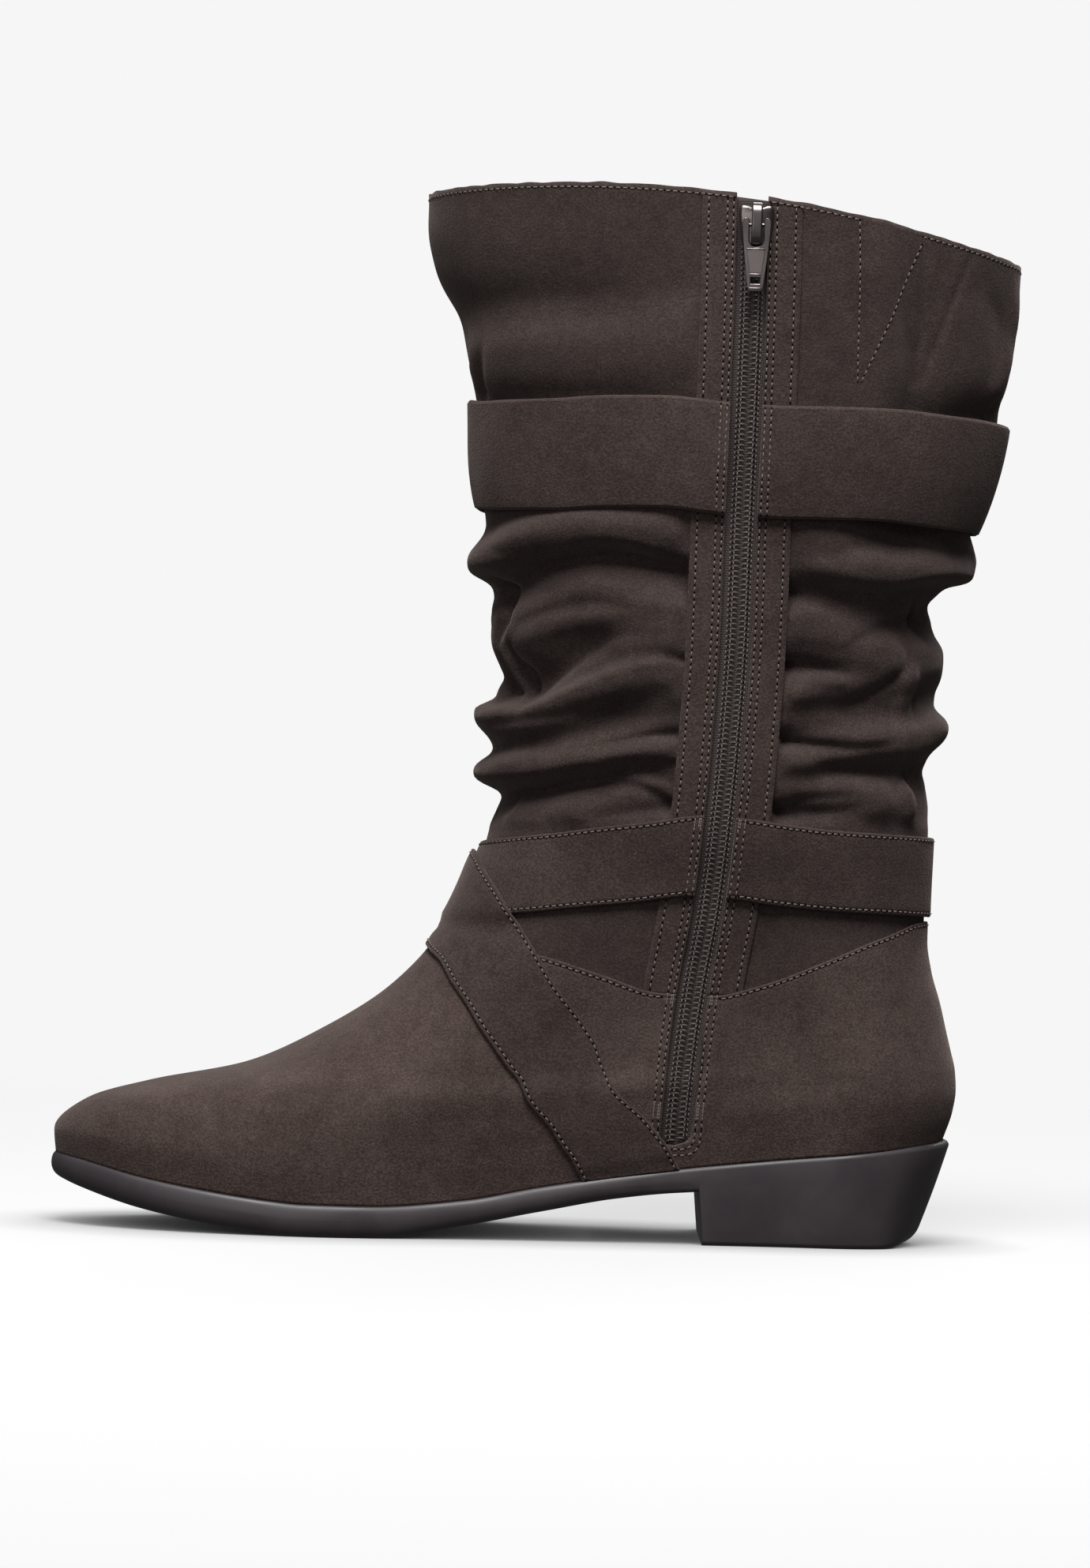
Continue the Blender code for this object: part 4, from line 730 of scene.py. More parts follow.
def new_group(name, inputs, outputs):
    """A shader node group with its inputs and outputs, as (name, kind, value) and (name, kind)."""
    tree = bpy.data.node_groups.new(name, "ShaderNodeTree")
    for label, kind, value in inputs:
        socket = tree.interface.new_socket(name=label, in_out="INPUT", socket_type=kind)
        socket.default_value = value
    for label, kind in outputs:
        tree.interface.new_socket(name=label, in_out="OUTPUT", socket_type=kind)
    start = tree.nodes.new("NodeGroupInput")
    end = tree.nodes.new("NodeGroupOutput")
    return tree, start.outputs, end.inputs


def add_node(tree, kind, inputs=(), **settings):
    """A node with settings, and with sockets fed by a value or by another socket."""
    node = tree.nodes.new(kind)
    for key, value in settings.items():
        setattr(node, key, value)
    for key, value in dict(inputs).items():
        if isinstance(value, bpy.types.NodeSocket):
            tree.links.new(value, node.inputs[key])
        else:
            node.inputs[key].default_value = value
    return node


def blend_colours(tree, factor, a, b, mode="MIX"):
    """A colour mix; returns its colour."""
    node = tree.nodes.new("ShaderNodeMix")
    node.data_type = "RGBA"
    node.blend_type = mode
    for socket, value in ((node.inputs[0], factor), (node.inputs[6], a), (node.inputs[7], b)):
        if isinstance(value, bpy.types.NodeSocket):
            tree.links.new(value, socket)
        else:
            socket.default_value = value if isinstance(value, float) else (*value[:3], 1.0)
    return node.outputs[2]


def calc(tree, operation, a, b=0.0, clamp=False):
    """A number worked out from two others."""
    node = tree.nodes.new("ShaderNodeMath")
    node.operation = operation
    node.use_clamp = clamp
    for socket, value in zip(node.inputs, (a, b)):
        if isinstance(value, bpy.types.NodeSocket):
            tree.links.new(value, socket)
        else:
            socket.default_value = value
    return node.outputs[0]


def spread(tree, value, low, high, to_low=0.0, to_high=1.0):
    """A number brought from one range to another, kept within it."""
    node = add_node(tree, "ShaderNodeMapRange", {0: value, 1: low, 2: high, 3: to_low, 4: to_high})
    return node.outputs[0]


def noise(tree, vector, scale, detail=2.0, roughness=0.5, distortion=0.0):
    """A soft noise from 0 to 1 over an object's own places."""
    inputs = {"Vector": vector, "Scale": scale, "Detail": detail, "Roughness": roughness}
    inputs["Distortion"] = distortion
    return add_node(tree, "ShaderNodeTexNoise", inputs).outputs["Fac"]


def make_nap_group():
    """Suede: short nap in patches brushed light and dark, darker in its pits as grain tone and painted shade,
    with painted glints on its tips, lighter on its sharp edges and crests.
    """
    inputs = (
        ("Dark", "NodeSocketColor", (*SUEDE_DARK, 1)),
        ("Light", "NodeSocketColor", (*SUEDE_LIGHT, 1)),
        ("Painted glint", "NodeSocketColor", (*NAP_PAINTED_GLINT, 1)),
        ("Nap", "NodeSocketFloat", 1900.0),
        ("Edge lightening", "NodeSocketFloat", 0.5),
    )
    outputs = (("Colour", "NodeSocketColor"), ("Roughness", "NodeSocketFloat"), ("Height", "NodeSocketFloat"))
    tree, given, made = new_group("suede_nap", inputs, outputs)
    spot = add_node(tree, "ShaderNodeTexCoord").outputs["Object"]
    patches = noise(tree, spot, 38.0, 3.0, 0.55, 0.4)
    mottle = noise(tree, spot, 210.0, 4.0, 0.6)
    grain = noise(tree, spot, given["Nap"], 2.0, 0.6)
    fine = noise(tree, spot, calc(tree, "MULTIPLY", given["Nap"], 2.1), 2.0, 0.6)
    tone = calc(tree, "MULTIPLY", spread(tree, patches, 0.3, 0.7), 0.55)
    tone = calc(tree, "ADD", tone, calc(tree, "MULTIPLY", spread(tree, mottle, 0.3, 0.7), 0.45), True)
    colour = blend_colours(tree, tone, given["Dark"], given["Light"])
    # Lighter towards the Light colour on sharp edges and fold crests, read from pointiness.
    edge = add_node(tree, "ShaderNodeNewGeometry").outputs["Pointiness"]
    worn = calc(tree, "MULTIPLY", spread(tree, edge, 0.52, 0.62), given["Edge lightening"], True)
    colour = blend_colours(tree, worn, colour, given["Light"])
    # The nap darker in its pits, where the bump sinks: its grain's own tone and painted shade.
    painted_pit_shade = spread(tree, grain, 0.36, 0.60, 0.55, 1.0)
    # Painted glints: light specks where the nap's bump stands highest.
    painted_glints = calc(tree, "MULTIPLY", spread(tree, fine, 0.52, 0.74), spread(tree, grain, 0.42, 0.60))
    shade = add_node(tree, "ShaderNodeCombineColor", {0: painted_pit_shade, 1: painted_pit_shade, 2: painted_pit_shade}).outputs[0]
    colour = blend_colours(tree, 1.0, colour, shade, "MULTIPLY")
    colour = blend_colours(tree, calc(tree, "MULTIPLY", painted_glints, 0.26), colour, given["Painted glint"])
    link(tree, colour, made["Colour"])
    link(tree, spread(tree, grain, 0.2, 0.8, 0.82, 0.98), made["Roughness"])
    height = calc(tree, "ADD", calc(tree, "MULTIPLY", grain, 0.7), calc(tree, "MULTIPLY", fine, 0.3))
    height = calc(tree, "ADD", height, calc(tree, "MULTIPLY", mottle, 0.5))
    link(tree, height, made["Height"])
    return tree


def make_cloth_group():
    """Woven cloth: crossed yarns in two tones."""
    inputs = (
        ("Dark", "NodeSocketColor", (*TAPE_DARK, 1)),
        ("Light", "NodeSocketColor", (*TAPE_LIGHT, 1)),
        ("Yarn", "NodeSocketFloat", 0.45 * MM),
        ("Slant", "NodeSocketFloat", 1.0),
    )
    outputs = (("Colour", "NodeSocketColor"), ("Height", "NodeSocketFloat"))
    tree, given, made = new_group("woven_cloth", inputs, outputs)
    spot = add_node(tree, "ShaderNodeTexCoord").outputs["Object"]
    parts = add_node(tree, "ShaderNodeSeparateXYZ", {0: spot}).outputs
    turns = calc(tree, "DIVIDE", 2 * math.pi, given["Yarn"])
    along = calc(tree, "ADD", parts["X"], parts["Y"])
    one = calc(tree, "SINE", calc(tree, "MULTIPLY", parts["Z"], turns))
    slanted = calc(tree, "ADD", along, calc(tree, "MULTIPLY", parts["Z"], given["Slant"]))
    two = calc(tree, "SINE", calc(tree, "MULTIPLY", slanted, turns))
    weave = spread(tree, calc(tree, "ADD", one, two), -1.6, 1.6)
    worn = noise(tree, spot, 420.0, 3.0)
    tone = calc(tree, "MULTIPLY", weave, spread(tree, worn, 0.2, 0.8, 0.5, 1.0), True)
    link(tree, blend_colours(tree, tone, given["Dark"], given["Light"]), made["Colour"])
    link(tree, weave, made["Height"])
    return tree


def make_rub_group():
    """Smooth stuff: tone lighter in patches and on sharp edges, fine scratches and a gloss that changes in
    patches.
    """
    inputs = (
        ("Base", "NodeSocketColor", (*SOLE_BLACK, 1)),
        ("Lighter tone", "NodeSocketColor", (*SOLE_GREY, 1)),
        ("Gloss low", "NodeSocketFloat", 0.32),
        ("Gloss high", "NodeSocketFloat", 0.48),
        ("Grain", "NodeSocketFloat", 600.0),
    )
    outputs = (("Colour", "NodeSocketColor"), ("Roughness", "NodeSocketFloat"), ("Height", "NodeSocketFloat"))
    tree, given, made = new_group("rubbed_surface", inputs, outputs)
    spot = add_node(tree, "ShaderNodeTexCoord").outputs["Object"]
    patches = noise(tree, spot, 55.0, 4.0, 0.6, 0.3)
    grain = noise(tree, spot, given["Grain"], 4.0, 0.6)
    squeezed = add_node(tree, "ShaderNodeMapping", {"Vector": spot, "Scale": (90.0, 900.0, 1500.0)}).outputs[0]
    scratches = spread(tree, noise(tree, squeezed, 1.0, 3.0, 0.7), 0.62, 0.72)
    # Lighter on sharp edges, read from pointiness.
    edge = add_node(tree, "ShaderNodeNewGeometry").outputs["Pointiness"]
    worn = spread(tree, edge, 0.52, 0.64)
    tone = calc(tree, "ADD", calc(tree, "MULTIPLY", spread(tree, patches, 0.35, 0.7), 0.5), worn, True)
    link(tree, blend_colours(tree, tone, given["Base"], given["Lighter tone"]), made["Colour"])
    gloss = add_node(tree, "ShaderNodeMapRange", {0: patches, 1: 0.3, 2: 0.7, 3: given["Gloss low"]})
    link(tree, given["Gloss high"], gloss.inputs[4])
    dulled = calc(tree, "ADD", gloss.outputs[0], calc(tree, "MULTIPLY", scratches, 0.08), True)
    link(tree, dulled, made["Roughness"])
    link(tree, calc(tree, "SUBTRACT", grain, calc(tree, "MULTIPLY", scratches, 0.4)), made["Height"])
    return tree


def new_material(name, group, inputs, bump_depth, strength=1.0, **shader_values):
    """A material whose colour, roughness and bump come from a group and whose other values are set here."""
    finish = bpy.data.materials.new(name)
    finish.use_nodes = True
    tree = finish.node_tree
    shader = tree.nodes["Principled BSDF"]
    source = tree.nodes.new("ShaderNodeGroup")
    source.node_tree = group
    for key, value in inputs.items():
        source.inputs[key].default_value = (*value, 1.0) if isinstance(value, tuple) else value
    link(tree, source.outputs["Colour"], shader.inputs["Base Color"])
    if "Roughness" in source.outputs:
        link(tree, source.outputs["Roughness"], shader.inputs["Roughness"])
    bump = add_node(tree, "ShaderNodeBump", {"Height": source.outputs["Height"]})
    bump.inputs["Strength"].default_value = strength
    bump.inputs["Distance"].default_value = bump_depth
    link(tree, bump.outputs[0], shader.inputs["Normal"])
    for key, value in shader_values.items():
        shader.inputs[key.replace("_", " ")].default_value = value
    return finish


NAP = make_nap_group()
CLOTH = make_cloth_group()
RUBBED = make_rub_group()
SHEEN = {"Sheen_Weight": 0.22, "Sheen_Roughness": 0.45, "Sheen_Tint": (0.62, 0.50, 0.46, 1.0)}
MATTE = {"Specular_IOR_Level": 0.25}


def suede_with_painted_light(name, painted_light_factor, nap, depth):
    """The same suede with painted light: its colours scaled lighter or darker for the light a part should seem
    to get.
    """
    colours = {key: tuple(c * painted_light_factor for c in value) for key, value in
               (("Dark", SUEDE_DARK), ("Light", SUEDE_LIGHT), ("Painted glint", NAP_PAINTED_GLINT))}
    return new_material(name, NAP, {**colours, "Nap": nap, "Edge lightening": 0.3}, depth, 1.0, **SHEEN, **MATTE)


# Painted light: the shaft's suede darkened as painted shade, the foot cover's lightened as painted light, the
# straps' almost as given.
suede = suede_with_painted_light("suede", 0.86, 1500.0, 0.32 * MM)
cover_suede = suede_with_painted_light("cover_suede", 1.28, 1500.0, 0.32 * MM)
strap_suede = suede_with_painted_light("strap_suede", 1.02, 1400.0, 0.34 * MM)
lining = new_material("lining", CLOTH, {"Dark": LINING_DARK, "Light": LINING_LIGHT, "Yarn": 0.9 * MM},
                      0.1 * MM, 0.6, Roughness=0.9)
tape_cloth = new_material("tape_cloth", CLOTH, {"Yarn": 0.75 * MM, "Slant": 0.6}, 0.12 * MM, 0.8,
                          Roughness=0.85)
thread = new_material("thread", CLOTH, {"Dark": tuple(0.6 * c for c in THREAD), "Light": THREAD,
                                        "Yarn": 0.35 * MM, "Slant": 1.0}, 0.05 * MM, 0.8, Roughness=0.55)
# Needle holes: near-black dimples, painted shade inside each hole where the thread goes in.
needle_hole = new_material("needle_hole", NAP, {"Dark": HOLE, "Light": HOLE, "Painted glint": HOLE, "Edge lightening": 0.0},
                           0.05 * MM, 0.5, Specular_IOR_Level=0.0)
sole_rubber = new_material("sole_rubber", RUBBED, {"Gloss low": 0.40, "Gloss high": 0.52}, 0.02 * MM, 0.5,
                           Specular_IOR_Level=0.4)
coil_nylon = new_material("coil_nylon", RUBBED, {"Base": COIL_COLOUR, "Gloss low": 0.16, "Gloss high": 0.28,
                                                "Lighter tone": tuple(1.5 * c for c in COIL_COLOUR)},
                          0.02 * MM, 0.4, Specular_IOR_Level=0.9)
gunmetal = new_material("gunmetal", RUBBED, {"Base": GUNMETAL, "Lighter tone": tuple(1.6 * c for c in GUNMETAL),
                                            "Gloss low": 0.24, "Gloss high": 0.36, "Grain": 1400.0},
                        0.015 * MM, 0.4, Metallic=1.0)


def shaft_columns(up):
    """Places of the shaft's columns on its rows, with pairs of columns along the zip's opening and guards."""
    here = np.full(up.shape, 0.53)
    for _ in range(5):
        middle = zip_x(height_of(here, up))
        here = place_of_x(middle, up)
    gap = np.full(up.shape, ZIP_GAP / 2)
    edges = [middle - gap - GUARD_WIDTH, middle - gap, middle + gap, middle + gap + GUARD_WIDTH]
    guard_front, slot_front, slot_back, guard_back = [place_of_x(edge, up) for edge in edges]
    spans = (
        (np.zeros(up.shape), guard_front, FRONT_COLUMNS),
        (guard_front, slot_front, GUARD_COLUMNS),
        (slot_front, slot_back, 1),
        (slot_back, guard_back, GUARD_COLUMNS),
        (guard_back, np.ones(up.shape), 92),
        (np.ones(up.shape), np.full(up.shape, 2.0), 72),
    )
    columns = []
    for start, end, count in spans:
        columns += [start + (end - start) * k / count for k in range(count)]
    return np.stack(columns, axis=1)


def shaft_rows():
    """Shares of the way up of the shaft's rows, close together over the slouch."""
    spans = ((0.0, 0.555, 18), (0.555, 0.79, 112), (0.79, 0.85, 6), (0.85, 1.0, 40))
    rows = [low + (high - low) * k / count for low, high, count in spans for k in range(count)]
    return np.array(rows + [1.0])


def make_shaft():
    """The shaft and the wall of the foot under its cover: one suede wall with its lining, slouched in folds."""
    up = shaft_rows()
    place = shaft_columns(up)
    ups = np.repeat(up[:, None], place.shape[1], axis=1)
    plain = upper_point(place, ups)
    rise = fold_rise(place, plain[..., 2], plain[..., 0])
    points = raised(place, ups, rise)[0]
    points[-1, :, 2] += 0.25 * MM * waves(place[-1], 0.0, 2.5 * MM, 41)
    mesh = surface_mesh("shaft", points, closed=True, left_out=(SLOT_COLUMN,))
    piece = add_piece("shaft", mesh, (suede, lining), slot="upper_suede", stands_for=("upper",), smooth=80)
    thicken(piece, WALL, outside=False, inner_material=1)


def cover_lift(place, height):
    """How high the foot cover's outside lies over the upper, with its soft unevenness."""
    away = line_height(1, place) - height
    uneven = 0.3 * MM * waves(place, height, 26 * MM, 11)
    return CLEARANCE + COVER_THICKNESS + uneven * ease(2 * MM, 12 * MM, away)


def make_cover():
    """The vamp and quarters over the foot, with a stitched top edge and a round-ended opening for the zip."""
    steps = np.array([0.0, 0.3, 0.6, 0.85, 1.1, 1.35, 1.7, 2.3, 3.2, 4.6, 6.4]) * MM
    shares = np.linspace(0, 1, 84)[:-1]
    spans = ((0.0, "front", COVER_SLIT), ("front", "back", 1), ("back", 1.0, 56), (1.0, 2.0, 120))
    total = sum(count for _, _, count in spans)
    rows = len(shares) + len(steps)
    place = np.full((rows, total), 0.55)
    heights = np.zeros((rows, total))
    ups = np.full((rows, total), 0.2)
    for _ in range(10):
        slit_ups = ups[:, COVER_SLIT]
        slit_height = height_of(place[:, COVER_SLIT], slit_ups)
        middle = zip_x(slit_height)
        gap = zip_half_gap(slit_height)
        ends = {"front": place_of_x(middle - gap, slit_ups), "back": place_of_x(middle + gap, slit_ups)}
        column = 0
        for start, end, count in spans:
            low, high = ends.get(start, start), ends.get(end, end)
            for k in range(count):
                place[:, column] = low + (high - low) * k / count
                column += 1
        top = line_height(1, place)
        heights[len(shares):] = top[len(shares):] - steps[::-1, None]
        low_step = steps[-1]
        for row, share in enumerate(shares):
            foot = height_of(place[row], np.zeros(total))
            heights[row] = foot + (top[row] - low_step - foot) * share
        ups = up_of(place, heights)
    away = line_height(1, place) - heights
    lift = cover_lift(place, heights)
    lift = lift - 0.28 * MM * np.exp(-(((away - EDGE_SEAM) / (0.35 * MM)) ** 2))
    lift = lift - 0.3 * MM * np.exp(-((away / (0.35 * MM)) ** 2))
    points = raised(place, ups, lift)[0]
    mesh = welded(surface_mesh("foot_cover_suede", points, closed=True, left_out=(COVER_SLIT,)))
    piece = add_piece("foot_cover_suede", mesh, (cover_suede,), slot="cover_suede", stands_for=("foot_cover",))
    thicken(piece, COVER_THICKNESS, outside=False)


def zip_spots(offset, heights):
    """The places and shares up of a line beside the zip's middle, at an offset towards the back."""
    return spot_on_inner_side(zip_x(heights) + offset, heights)


def strip_profile(width, thickness, rounding, crown=0.0, groove=0.25 * MM, groove_in=1.1 * MM):
    """A strap's section as closed points (across, out): round edges, a crown and a groove under each seam."""
    half = width / 2
    steps = np.array([rounding, 0.8 * MM, 0.95 * MM, groove_in, 1.25 * MM, 1.45 * MM, 1.9 * MM, 2.8 * MM])
    middle = np.linspace(half - 4.5 * MM, -half + 4.5 * MM, 9)
    face = np.concatenate([half - steps, middle, steps[::-1] - half])
    out = thickness + crown * np.cos(np.clip(face / half, -1, 1) * math.pi / 2) ** 0.7
    out = out - groove * np.exp(-(((half - np.abs(face) - groove_in) / (0.3 * MM)) ** 2))
    bends = np.linspace(0, math.pi / 2, 4)
    corner = min(rounding, thickness / 2)
    side_low = [(-half + rounding * (1 - math.sin(a)), corner * (1 - math.cos(a))) for a in bends]
    side_high = [(-half + rounding * (1 - math.cos(a)), thickness - corner * (1 - math.sin(a)))
                 for a in bends]
    left = side_low + side_high[:-1]
    right = [(-v, h) for v, h in reversed(left)]
    back = [(v, 0.0) for v in np.linspace(half - 4 * MM, -half + 4 * MM, 5)]
    return left + [(v, h) for v, h in zip(face[::-1], out[::-1])] + right + back


def swept_mesh(name, loops):
    """A closed solid through a row of closed sections, with its two ends capped."""
    shape = bmesh.new()
    rings = [[shape.verts.new(point) for point in loop] for loop in loops]
    join_rings(shape, rings)
    shape.faces.new(rings[0])
    shape.faces.new(rings[-1])
    return mesh_of(name, shape)


def round_strap_places(line, across, stations):
    """Places from the zip's back edge round the outer side to its front edge, one for each offset across."""
    gap = ZIP_GAP / 2
    middle = float(line_height(line, np.array([0.53]))[0])
    back = zip_spots(gap, middle + across)[0]
    front = zip_spots(-gap, middle + across)[0] + 2
    share = np.linspace(0, 1, stations)[:, None]
    return back[None, :] + (front - back)[None, :] * share


def strap_base(place, height):
    """How far a strap's underside lies off the leg: over the guards beside the zip, closer elsewhere."""
    x = upper_point(place, up_of(place, height))[..., 0]
    beside = beside_zip(place, height, x)
    edge = ZIP_GAP / 2 + GUARD_WIDTH
    return STRAP_LIFT + (STRAP_LOW_LIFT - STRAP_LIFT) * ease(edge, edge + 9 * MM, beside)


def make_round_strap(name, line, width, thickness, rounding, stations, crown, finish, stands_for, wave):
    """A strap round the shaft from one edge of the zip to the other."""
    profile = np.array(strip_profile(width, thickness, rounding, crown, 0.0 if line == 3 else 0.25 * MM))
    across, out = profile[:, 0], profile[:, 1]
    place = round_strap_places(line, across, stations)
    edge_wave = wave * waves(place, np.zeros(place.shape), 20 * MM, line)
    heights = line_height(line, place) + across[None, :] * (1 + edge_wave / width)
    lift = strap_base(place, heights) + np.repeat(out[None, :], stations, axis=0)
    lift = lift + (out[None, :] > 0.5 * thickness) * wave * 0.8 * waves(place, heights, 12 * MM, line + 20)
    points = seat(place, heights, lift)[0]
    add_piece(name, swept_mesh(name, points), (finish,), slot="strap_suede", stands_for=stands_for)


def make_guards():
    """The two strips sewn beside the zip, from the foot cover up to the collar."""
    steps = np.array([0.0, 0.35, 0.9, 1.5, 1.9, 2.3, 3.2, 4.6, 6.2, 7.0, 7.4, 7.8, 8.5, 9.2, 9.6, 10.0]) * MM
    grooves = (GUARD_SEAM, GUARD_WIDTH - ZIP_SEAMS[1], GUARD_WIDTH - ZIP_SEAMS[0])
    for name, side in (("zip_guard_front", -1), ("zip_guard_back", 1)):
        foot = line_height(1, np.array([0.53]))[0] - 0.4 * MM
        shares = np.linspace(0, 1, 170)
        offsets = side * (ZIP_GAP / 2 + GUARD_WIDTH - steps)
        top = 0.999
        heights = foot + shares[:, None] * (COLLAR_HEIGHT - foot) + np.zeros(len(steps))
        place, up = zip_spots(offsets[None, :], heights)
        limit = height_of(place, np.full(place.shape, top))
        heights = foot + shares[:, None] * (limit[-1][None, :] - foot)
        place, up = zip_spots(offsets[None, :], heights)
        up = np.minimum(up, top)
        lift = GUARD_LIFT + GUARD_THICKNESS + np.zeros(place.shape)
        for groove in grooves:
            lift -= 0.2 * MM * np.exp(-(((steps[None, :] - groove) / (0.35 * MM)) ** 2))
        lift -= 0.25 * MM * np.exp(-((steps[None, :] / (0.3 * MM)) ** 2))
        lift += 0.12 * MM * waves(place, heights, 14 * MM, 31 + side)
        points = raised(place, up, lift)[0]
        if side > 0:
            points = points[:, ::-1]
        mesh = surface_mesh(name + "_strip", points)
        piece = add_piece(name + "_strip", mesh, (strap_suede,), slot="guard_suede", stands_for=(name,))
        thicken(piece, GUARD_THICKNESS, outside=False)


def strap_edge(knots):
    """Places and shares up of an edge of the instep strap, from the sole over the instep to the sole."""
    knots = np.array(knots)
    knots = np.concatenate([knots[:0:-1] * (-1, 1), knots])
    steps = np.linalg.norm(np.diff(upper_point(knots[:, 0], knots[:, 1]), axis=0), axis=1)
    lengths = np.concatenate([[0], np.cumsum(steps)])
    at = np.linspace(0, lengths[-1], INSTEP_STATIONS)
    return np.stack([through(lengths, knots[:, 0], at), through(lengths, knots[:, 1], at)])


def instep_strap_points(across, lift):
    """Points over the instep strap, one column for each offset across it, and the directions out of it."""
    low, high = [strap_edge(knots)[:, :, None] for knots in INSTEP_STRAP_EDGES]
    places, ups = low + (high - low) * (0.5 + across / STRAP_WIDTH)
    heights = height_of(places, ups)
    strap_low = line_height(2, places) - STRAP_WIDTH / 2
    cover_top = line_height(1, places)
    over_strap = ease(strap_low - 4 * MM, strap_low + 1 * MM, heights)
    over_cover = 1 - ease(cover_top - 1 * MM, cover_top + 4 * MM, heights)
    base = STRAP_LOW_LIFT + (STRAP_THICKNESS + CLEARANCE) * over_strap
    base = base + (cover_lift(places, heights) + 0.12 * MM - base) * over_cover * (1 - over_strap)
    share = np.abs(np.linspace(-1, 1, INSTEP_STATIONS))[:, None]
    sunk = 0.7 * MM * ease(0.95, 1.0, share)
    return raised(places, ups, base + lift - sunk)


def make_instep_strap():
    """The diagonal strap over the instep and down to the sole on both sides."""
    profile = np.array(strip_profile(STRAP_WIDTH, INSTEP_THICKNESS, 0.5 * MM))
    points = instep_strap_points(profile[:, 0], profile[None, :, 1])[0]
    mesh = swept_mesh("instep_strap_suede", points)
    add_piece("instep_strap_suede", mesh, (strap_suede,), slot="strap_suede", stands_for=("instep_strap",))


def capsule(sides=6):
    """A stitch's form along x, of length and thickness 1, its ends bent down into the suede."""
    rings = ((-0.5, 0.25, -0.55), (-0.36, 0.85, -0.12), (0.0, 1.0, 0.0), (0.36, 0.85, -0.12),
             (0.5, 0.25, -0.55))
    points = []
    for x, radius, drop in rings:
        for k in range(sides):
            a = 2 * math.pi * k / sides
            points.append((x, 0.5 * radius * math.cos(a), 0.5 * radius * math.sin(a) + drop))
    return np.array(points), tube_faces(len(rings), sides)


def disc(sides=8):
    """A shallow dark dimple's form, lying flat."""
    points = [(0.5 * math.cos(2 * math.pi * k / sides), 0.5 * math.sin(2 * math.pi * k / sides), 0.0)
              for k in range(sides)]
    points += [(0.8 * x, 0.8 * y, 0.22) for x, y, _ in points]
    points += [(0.0, 0.0, 0.25), (0.0, 0.0, -0.3)]
    faces = []
    for k in range(sides):
        after = (k + 1) % sides
        faces.append((k, after, sides + after, sides + k))
        faces.append((sides + k, sides + after, 2 * sides))
        faces.append((after, k, 2 * sides + 1))
    return np.array(points), faces


def copies_mesh(name, form, centres, along, out, size):
    """Copies of a form, each turned to its own directions, as one mesh."""
    points, faces = form
    side = np.cross(out, along)
    size = np.broadcast_to(size, (len(centres), 3))
    local = points[None, :, :] * size[:, None, :]
    placed = centres[:, None, :] + local[..., :1] * along[:, None] + local[..., 1:2] * side[:, None]
    placed = placed + local[..., 2:] * out[:, None]
    spots = [tuple(k + n * len(points) for k in face) for n in range(len(centres)) for face in faces]
    mesh = bpy.data.meshes.new(name)
    mesh.from_pydata(placed.reshape(-1, 3).tolist(), [], spots)
    mesh.update()
    return mesh


class Seams:
    """Gathers rows of stitches and their needle holes, to be made as one mesh of each."""

    def __init__(self):
        self.stitches = []
        self.holes = []

    def row(self, points, normals, pitch=STITCH_PITCH):
        """Adds a row of stitches along points."""
        lengths = np.concatenate([[0], np.cumsum(np.linalg.norm(np.diff(points, axis=0), axis=1))])
        count = max(int(lengths[-1] / pitch), 1)
        pitch = lengths[-1] / count

        def at(places, values):
            return np.column_stack([np.interp(places, lengths, values[:, k]) for k in range(3)])

        middles = (np.arange(count) + 0.5) * pitch
        centres, out = at(middles, points), unit(at(middles, normals))
        along = unit(at(middles + 0.3 * pitch, points) - at(middles - 0.3 * pitch, points))
        out = unit(out - along * (out * along).sum(1, keepdims=True))
        self.stitches.append((centres, along, out))
        ends = np.arange(count + 1) * pitch
        hole_along = unit(at(ends + 0.2 * pitch, points) - at(ends - 0.2 * pitch, points))
        hole_out = unit(at(ends, normals))
        hole_out = unit(hole_out - hole_along * (hole_out * hole_along).sum(1, keepdims=True))
        self.holes.append((at(ends, points), hole_along, hole_out))

    def make(self, name):
        """Makes the stitches and the needle holes."""
        centres, along, out = [np.concatenate(parts) for parts in zip(*self.stitches)]
        centres = centres + out * 0.02 * MM
        size = (STITCH_LENGTH, STITCH_THICKNESS, STITCH_THICKNESS)
        mesh = copies_mesh(name + "_thread", capsule(), centres, along, out, size)
        add_piece(name + "_thread", mesh, (thread,))
        centres, along, out = [np.concatenate(parts) for parts in zip(*self.holes)]
        size = (HOLE_SIZE, HOLE_SIZE * 0.8, 0.12 * MM)
        mesh = copies_mesh(name + "_holes", disc(), centres, along, out, size)
        add_piece(name + "_holes", mesh, (needle_hole,))


def shaft_spots(place, height):
    """Points on the shaft's outside with its folds, and the directions out of it."""
    up = up_of(place, height)
    plain = upper_point(place, up)
    return raised(place, up, fold_rise(place, plain[..., 2], plain[..., 0]))


def along_zip_lift(heights, place):
    """How high the outermost layer lies beside the zip at heights."""
    cover = line_height(1, place)
    strap = line_height(2, place)
    band = line_height(3, place)
    lift = np.full(heights.shape, GUARD_LIFT + GUARD_THICKNESS)
    lift = np.where(heights < cover, cover_lift(place, heights), lift)
    lift = np.where(np.abs(heights - strap) < STRAP_WIDTH / 2, STRAP_LIFT + STRAP_THICKNESS, lift)
    across = np.clip(np.abs(heights - band) / (BAND_WIDTH / 2), 0, 1)
    crowned = STRAP_LIFT + BAND_THICKNESS + BAND_PUFF * np.cos(across * math.pi / 2) ** 0.7
    return np.where(across < 1, crowned, lift)


